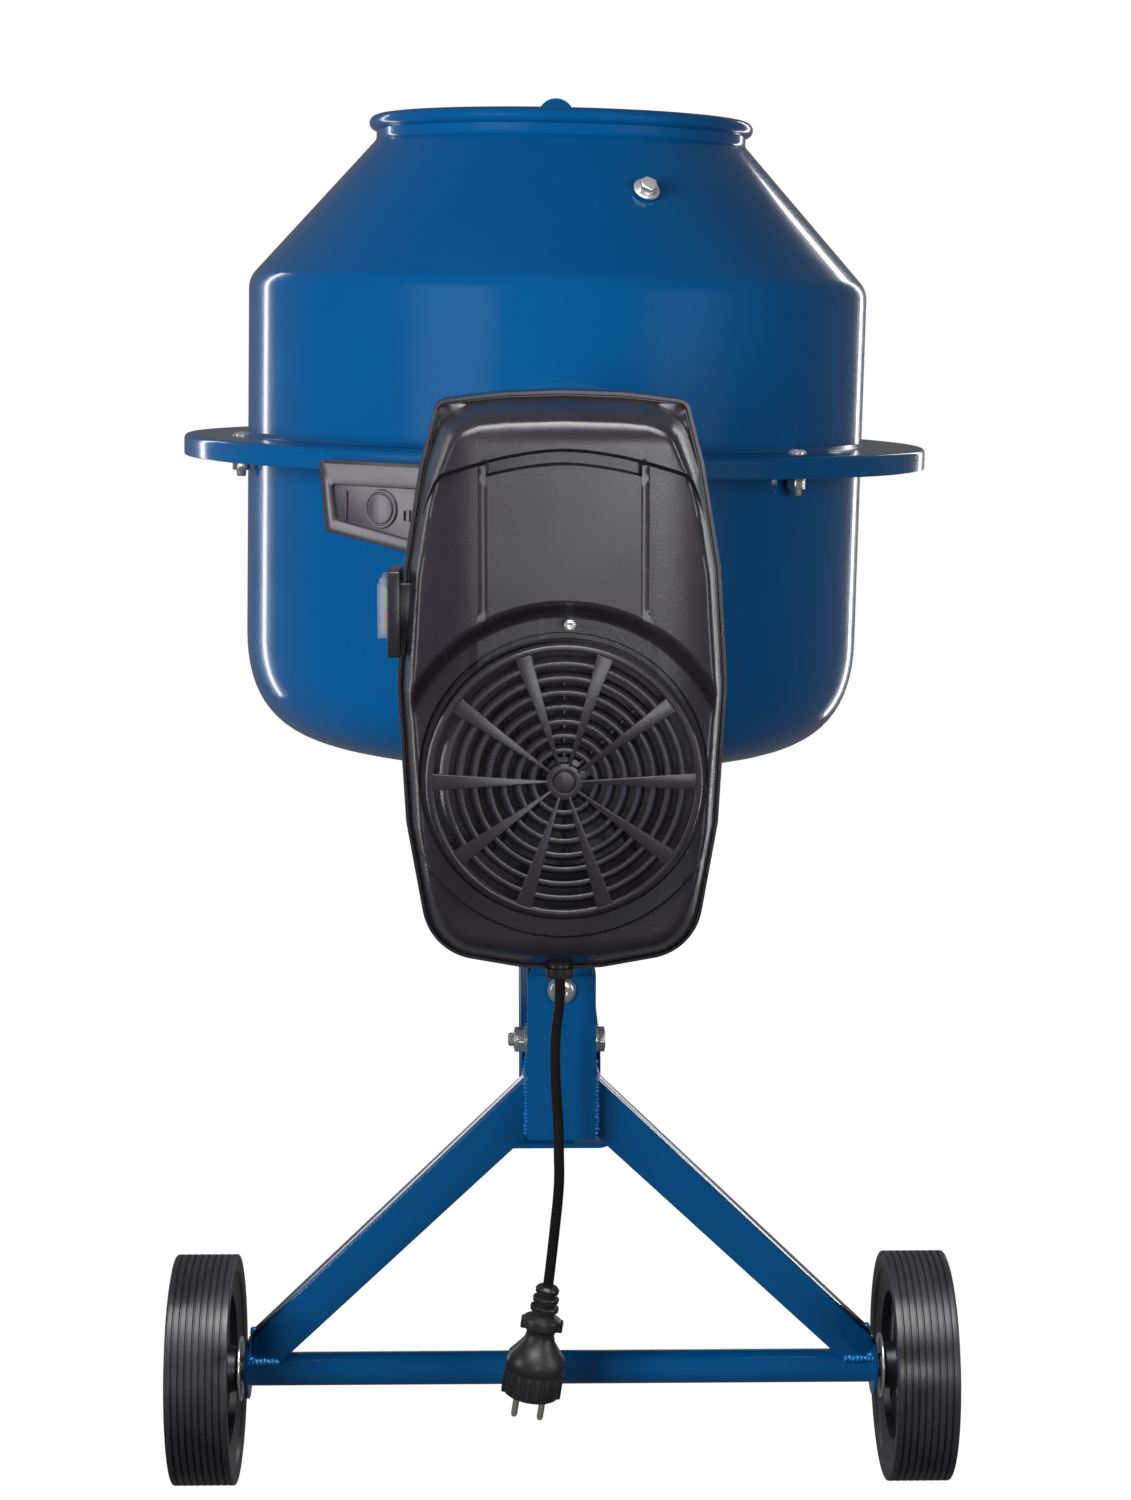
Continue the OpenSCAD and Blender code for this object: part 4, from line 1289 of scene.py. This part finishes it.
class MIXER_OT_screws(bpy.types.Operator):
    """Makes the cover's screw with its slotted recess"""
    bl_idname = "mixer.screws"
    bl_label = "Cover screw"

    def execute(self, context):
        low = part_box("cover_screws")[0]
        centre = middle("cover_screws")
        head = revolved("head", rounded([(0, -0.0004, 0), (0.0041, -0.0004, 0), (0.0043, 0.0006, 0.0005),
                                         (0.0036, 0.0022, 0.0006), (0.0022, 0.0029, 0.0006),
                                         (0.0017, 0.0026, 0.0001),
                                         (0.0009, 0.0008, 0), (0, 0.0006, 0)], 4), 40)
        shank = revolved("shank", [(0, -0.032), (0.0018, -0.032), (0.0025, -0.03), (0.0025, 0), (0, 0)], 24)
        wings = [prism("wing", [(0.0006, -0.0005), (0.0034, -0.0005), (0.0034, 0.0005), (0.0006, 0.0005)],
                       0.0005,
                       Matrix.Rotation(math.radians(45 + 90 * k), 4,
                                       "Z") @ Matrix.Translation((0, 0, 0.0021)), 0.0001)
                 for k in range(4)]
        screw = joined("cover_screw", [head, shank, *wings])
        seat = Vector((centre.x, low.y + 0.0029, centre.z))
        screw.data.transform(facing(seat, seat + Vector((0, -1, 0))))
        dress(crease(screw), "frame", finish("zinc"), "zinc", "cover_screws")
        return {"FINISHED"}


class MIXER_OT_post_bolts(bpy.types.Operator):
    """Makes the post's cross bolt and its round-headed front bolt"""
    bl_idname = "mixer.post_bolts"
    bl_label = "Post bolts"

    def execute(self, context):
        y = middle("front_post").y
        half = 0.025
        side = hex_bolt("side_bolt", 0.017, 0.0055, 0.005, 0.062, 0.0105)
        side.data.transform(facing((half, y, 0.338), (1, y, 0.338)))
        end = hex_bolt("side_nut", 0.017, 0.008, 0.005, 0.002, 0.0118)
        end.data.transform(facing((-half, y, 0.338), (-1, y, 0.338)))
        tip = revolved("tip", [(0, 0), (0.005, 0), (0.005, 0.0125), (0.0042, 0.0142), (0, 0.0145)], 32)
        tip.data.transform(facing((-half, y, 0.338), (-1, y, 0.338)))
        ridges = self.thread()
        ridges.data.transform(facing((-half - 0.0095, y, 0.338), (-1, y, 0.338)))
        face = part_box("front_post")[0].y
        round_head = revolved("round_head", rounded([(0, 0, 0), (0.0104, 0, 0), (0.0104, 0.0013, 0.0006),
                                                     (0.0082, 0.0047, 0.002), (0.0044, 0.0058, 0.001),
                                                     (0.0037, 0.0046, 0.0003), (0, 0.0046, 0)], 5), 48)
        round_head.data.transform(facing((0, face, 0.381), (0, face - 1, 0.381)))
        through = revolved("through", [(0, -0.058), (0.0034, -0.058), (0.004, -0.0565), (0.004, 0.001),
                                       (0, 0.001)], 24)
        through.data.transform(facing((0, face, 0.381), (0, face - 1, 0.381)))
        back = hex_bolt("back_nut", 0.013, 0.0065, 0.004, 0.002, 0.0085)
        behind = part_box("front_post")[1].y
        back.data.transform(facing((0, behind, 0.381), (0, behind + 1, 0.381)))
        bolts = joined("post_bolt_set", [side, end, tip, ridges, round_head, through, back])
        dress(crease(bolts), "frame", finish("zinc"), "zinc", "post_bolts")
        return {"FINISHED"}

    def thread(self):
        """The visible turns of thread past the nut."""
        outline = []
        for k in range(4):
            outline += [(0.0046, 0.001 * k), (0.0051, 0.001 * k + 0.0005)]
        return revolved("turns", [(0, -0.0002), *outline, (0.0046, 0.004), (0, 0.004)], 32)


# --- wheels ----------------------------------------------------------------------------------

class MIXER_OT_wheels(bpy.types.Operator):
    """Turns the grooved tyres and moulds the ribbed wheels with their hubs"""
    bl_idname = "mixer.wheels"
    bl_label = "Wheels"

    def execute(self, context):
        size = context.scene.mixer_wheel
        for side, name in ((-1, "left"), (1, "right")):
            centre = middle(name + "_tyre")
            place = facing(centre, centre + Vector((side, 0, 0)))
            tyre = revolved(name + "_tyre_rubber", self.tyre_outline(size), 192)
            tyre.data.transform(place)
            dress(tyre, "wheel_" + name, finish("tyre"), "tyre", name + "_tyre")
            disc = self.disc(size, name)
            disc.data.transform(place)
            dress(crease(disc), "wheel_" + name, finish("wheel_plastic"), "black_plastic", name + "_wheel")
        return {"FINISHED"}

    def tyre_outline(self, size):
        outer, half = 0.085, 0.023
        tread = []
        pitch = 0.040 / size.grooves
        for k in range(size.grooves):
            z = -0.020 + pitch * (k + 0.5)
            deep = outer - size.groove_depth
            tread += [(outer, z - 0.0009), (deep + 0.0002, z - 0.0006), (deep, z - 0.0003),
                      (deep, z + 0.0003),
                      (deep + 0.0002, z + 0.0006), (outer, z + 0.0009)]
        wall = rounded([(0.0619, -0.0175, 0), (0.0719, -0.0200, 0.001), (0.0735, -0.0218, 0.001),
                        (0.079, -half, 0.003),
                        (outer, -half, 0.003), (outer, -0.0199, 0)], 4)
        return [*wall, *tread, *[(r, -z) for r, z in reversed(wall)]]

    def disc(self, size, name):
        rim = revolved("rim", rounded([(0.0548, -0.018, 0.0008), (0.0618, -0.018, 0.0008),
                                       (0.0618, 0.018, 0.0008),
                                       (0.0552, 0.018, 0.0008), (0.0545, 0.004, 0.002),
                                       (0.0545, -0.004, 0.002)], 3), 160)
        web = revolved("web", rounded([(0.018, -0.0028, 0), (0.0548, -0.0028, 0), (0.0548, 0.0028, 0),
                                       (0.018, 0.0028, 0)],
                                      2), 96)
        hub = revolved("hub", rounded([(0.0094, -0.023, 0.0005), (0.0165, -0.023, 0.0012),
                                       (0.019, -0.010, 0.001),
                                       (0.019, 0.010, 0.001), (0.0165, 0.023, 0.0012),
                                       (0.0094, 0.023, 0.0005)], 4), 96)
        rib = prism("rib", [(0.0175, -0.0155), (0.0550, -0.0125), (0.0550, 0.0125), (0.0175, 0.0155)], 0.0022,
                    Matrix.Rotation(math.pi / 2, 4, "X") @ Matrix.Translation((0, 0, -0.0011)), 0.0004)
        ribs = ring_tree(finish("wheel_plastic")).apply(rib, Count=size.ribs, Step=math.tau / size.ribs,
                                                        Start=0.0)
        return joined(name + "_wheel_disc", [rim, web, hub, ribs])


# --- pieces whose CAD shape is right: edges softened, finish added ------------------------------

def softened(node, material, slot, width, angle=30, name=None, dissolve=1.0):
    """A copy of a CAD node with its flat facets merged, its edges rounded and a real finish."""
    source = frame["nodes"][node]
    mesh = source.data.copy()
    piece = bpy.data.objects.new(name or node + "_finished", mesh)
    bpy.context.collection.objects.link(piece)
    work = bmesh.new()
    work.from_mesh(mesh)
    bmesh.ops.remove_doubles(work, verts=work.verts, dist=2e-6)
    bmesh.ops.dissolve_limit(work, angle_limit=math.radians(dissolve), verts=work.verts, edges=work.edges)
    bmesh.ops.recalc_face_normals(work, faces=work.faces)
    work.to_mesh(mesh)
    work.free()
    if width:
        bevel = piece.modifiers.new("rounded edges", "BEVEL")
        bevel.width = width
        bevel.segments = 2
        bevel.limit_method = "ANGLE"
        bevel.angle_limit = math.radians(angle)
        bevel.use_clamp_overlap = True
        bevel.miter_outer = "MITER_ARC"
        baked(piece)
    crease(piece, 40)
    return dress(piece, body_of(source)[0], finish(material), slot, node)


class MIXER_OT_stand(bpy.types.Operator):
    """Finishes the stand: post, struts, axle, beam, leg, foot, bearings and lock plate"""
    bl_idname = "mixer.stand"
    bl_label = "Stand"

    def execute(self, context):
        # the stand's tubes take the darkened copy of the powder coat, painted shade
        for node, width in (("front_post", 0.002), ("upright_tube", 0.0015), ("left_strut", 0.0022),
                            ("right_strut", 0.0022), ("cross_beam", 0.0012), ("far_leg", 0.0008),
                            ("foot_plate", 0.0012),
                            ("axle_tube", 0.0006), ("near_bearing", 0.001), ("far_bearing", 0.001),
                            ("lock_plate", 0)):
            bpy.data.collections[EDGED].objects.link(softened(node, "stand_paint_painted_shade", "blue_paint", width))
        softened("axle_rod", "steel", "steel", 0.001)
        softened("axle_washers", "zinc", "zinc", 0.0006)
        return {"FINISHED"}


class MIXER_OT_yoke(bpy.types.Operator):
    """Finishes the yoke, its lever, trunnions, lock pin and spindle"""
    bl_idname = "mixer.yoke"
    bl_label = "Yoke"

    def execute(self, context):
        for node, width in (("yoke_frame", 0.0014), ("tilt_lever", 0.0012), ("pin_guide", 0.0006)):
            softened(node, "blue_paint", "blue_paint", width)
        for node, width in (("near_trunnion", 0.0006), ("far_trunnion", 0.001), ("drum_spindle", 0.001)):
            softened(node, "steel", "steel", width)
        pin = softened("lock_pin", "zinc", "zinc", 0.0006)
        centre = middle("lock_pin")
        for corner in pin.data.vertices:
            off = Vector((corner.co.x - centre.x, 0, corner.co.z - centre.z))
            if off.length < 0.0055:
                corner.co -= off * 0.035         # the shank's running fit in its guide
            else:
                corner.co.y -= 0.0002            # the pull stops just short of the guide
        return {"FINISHED"}


class MIXER_OT_works(bpy.types.Operator):
    """Finishes the motor, belt, pulleys, fan, pinion and the mixing blades"""
    bl_idname = "mixer.works"
    bl_label = "Works"

    def execute(self, context):
        for node, material, slot, width in (
                ("motor_plate", "steel", "steel", 0.0005), ("motor_case", "aluminium", "aluminium", 0.0012),
                ("run_capacitor", "cream", "cream", 0.0015), ("drive_belt", "rubber", "rubber", 0.0006),
                ("motor_shaft", "steel", "steel", 0.0006), ("motor_pulley", "aluminium", "aluminium", 0.0006),
                ("cooling_fan", "black_plastic", "black_plastic", 0.0004),
                ("drive_shaft", "steel", "steel", 0.0008),
                ("pinion", "steel", "steel", 0.0003), ("drive_pulley", "aluminium", "aluminium", 0.0006),
                ("drum_hub", "cast_iron", "cast_iron", 0.001), ("hub_bolts", "zinc", "zinc", 0.0005),
                ("left_blade", "blue_paint", "blue_paint", 0.0006),
                ("right_blade", "blue_paint", "blue_paint", 0.0006)):
            softened(node, material, slot, width)
        return {"FINISHED"}


class MIXER_OT_switch(bpy.types.Operator):
    """Finishes the switch: plate, body, clear flap and the two buttons"""
    bl_idname = "mixer.switch"
    bl_label = "Switch"

    def execute(self, context):
        softened("switch_plate", "black_plastic", "black_plastic", 0.0012)
        softened("switch_body", "black_plastic", "black_plastic", 0.0006)
        softened("switch_flap", "clear", "clear", 0.0005)
        for node, colour in (("on_button", "green"), ("off_button", "red")):
            button = softened(node, colour, colour, 0.0016)
            inner_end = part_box(node)[1].x
            for corner in button.data.vertices:
                if corner.co.x > inner_end - 0.005:
                    corner.co.x -= 0.0055        # room to travel behind the switch
        return {"FINISHED"}


# --- welds -----------------------------------------------------------------------------------

class MIXER_OT_welds(bpy.types.Operator):
    """Lays the weld ripples where the stand's tubes meet"""
    bl_idname = "mixer.welds"
    bl_label = "Welds"

    def execute(self, context):
        y = middle("front_post").y
        half = 0.0125
        lines = []
        for side in (-1, 1):
            for depth in (-half, half):
                lines.append(((side * 0.0252, y + depth, 0.270), (side * 0.0252, y + depth, 0.310)))
            lines.append(((side * 0.0252, y - half, 0.3115), (side * 0.0252, y + half, 0.3115)))
            lines.append(((side * 0.213, y - half, 0.0945), (side * 0.2335, y - half, 0.0945)))
            lines.append(((side * 0.2315, y - half, 0.097), (side * 0.2315, y + half, 0.111)))
        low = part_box("cross_beam")[0]
        for x in (-0.028, 0.028):
            lines.append(((x, low.y, 0.294), (x * 0.85, low.y, 0.326)))
        # the welds take the stand's darkened copy of the powder coat, painted shade
        bead = bead_tree(finish("stand_paint_painted_shade"))
        beads = []
        for index, (start, end) in enumerate(lines):
            seed = mesh_piece("seed", [(0, 0, 0)], [])
            length_m = (Vector(end) - Vector(start)).length
            beads.append(bead.apply(seed, Count=max(4, round(length_m / 0.0026)), Start=start, End=end,
                                    Size=0.0029,
                                    Seed=index))
        welds = joined("stand_welds", beads)
        dress(welds, "frame", finish("stand_paint_painted_shade"), "blue_paint")
        bpy.data.collections[SHEEN].objects.link(welds)
        return {"FINISHED"}


# --- panel and registration --------------------------------------------------------------------

# In the order they run: the studio and the cord before the pieces that follow the frame
STEPS = (MIXER_OT_finishes, MIXER_OT_stage, MIXER_OT_cord, MIXER_OT_drum, MIXER_OT_gear_cover,
         MIXER_OT_gear_ring,
         MIXER_OT_drum_bolts, MIXER_OT_cover, MIXER_OT_tray, MIXER_OT_grille, MIXER_OT_gland, MIXER_OT_guard,
         MIXER_OT_screws, MIXER_OT_post_bolts, MIXER_OT_wheels, MIXER_OT_stand, MIXER_OT_yoke, MIXER_OT_works,
         MIXER_OT_switch, MIXER_OT_welds)

GROUPS = (MIXER_PG_finishes, MIXER_PG_drum, MIXER_PG_grille, MIXER_PG_wheel, MIXER_PG_camera)


class MIXER_PT_panel(bpy.types.Panel):
    """Lists the pieces to build and the settings behind them"""
    bl_label = "Mixer"
    bl_idname = "MIXER_PT_panel"
    bl_space_type = "VIEW_3D"
    bl_region_type = "UI"
    bl_category = "Mixer"

    def draw(self, context):
        column = self.layout.column(align=True)
        for step in STEPS:
            column.operator(step.bl_idname)
        for name in ("mixer_finishes", "mixer_drum", "mixer_grille", "mixer_wheel", "mixer_camera"):
            box = self.layout.box()
            for key in getattr(context.scene, name).bl_rna.properties.keys():
                if key not in ("rna_type", "name"):
                    box.prop(getattr(context.scene, name), key)


def register():
    for kind in (*GROUPS, *STEPS, MIXER_PT_panel):
        bpy.utils.register_class(kind)
    for kind in GROUPS:
        setattr(bpy.types.Scene, "mixer_" + kind.__name__.rsplit("_", 1)[1], PointerProperty(type=kind))


def unregister():
    for kind in GROUPS:
        delattr(bpy.types.Scene, "mixer_" + kind.__name__.rsplit("_", 1)[1])
    for kind in reversed((*GROUPS, *STEPS, MIXER_PT_panel)):
        bpy.utils.unregister_class(kind)


def main():
    register()
    for step in STEPS:
        space, name = step.bl_idname.split(".")
        getattr(getattr(bpy.ops, space), name)()


if __name__ == "__main__":
    main()
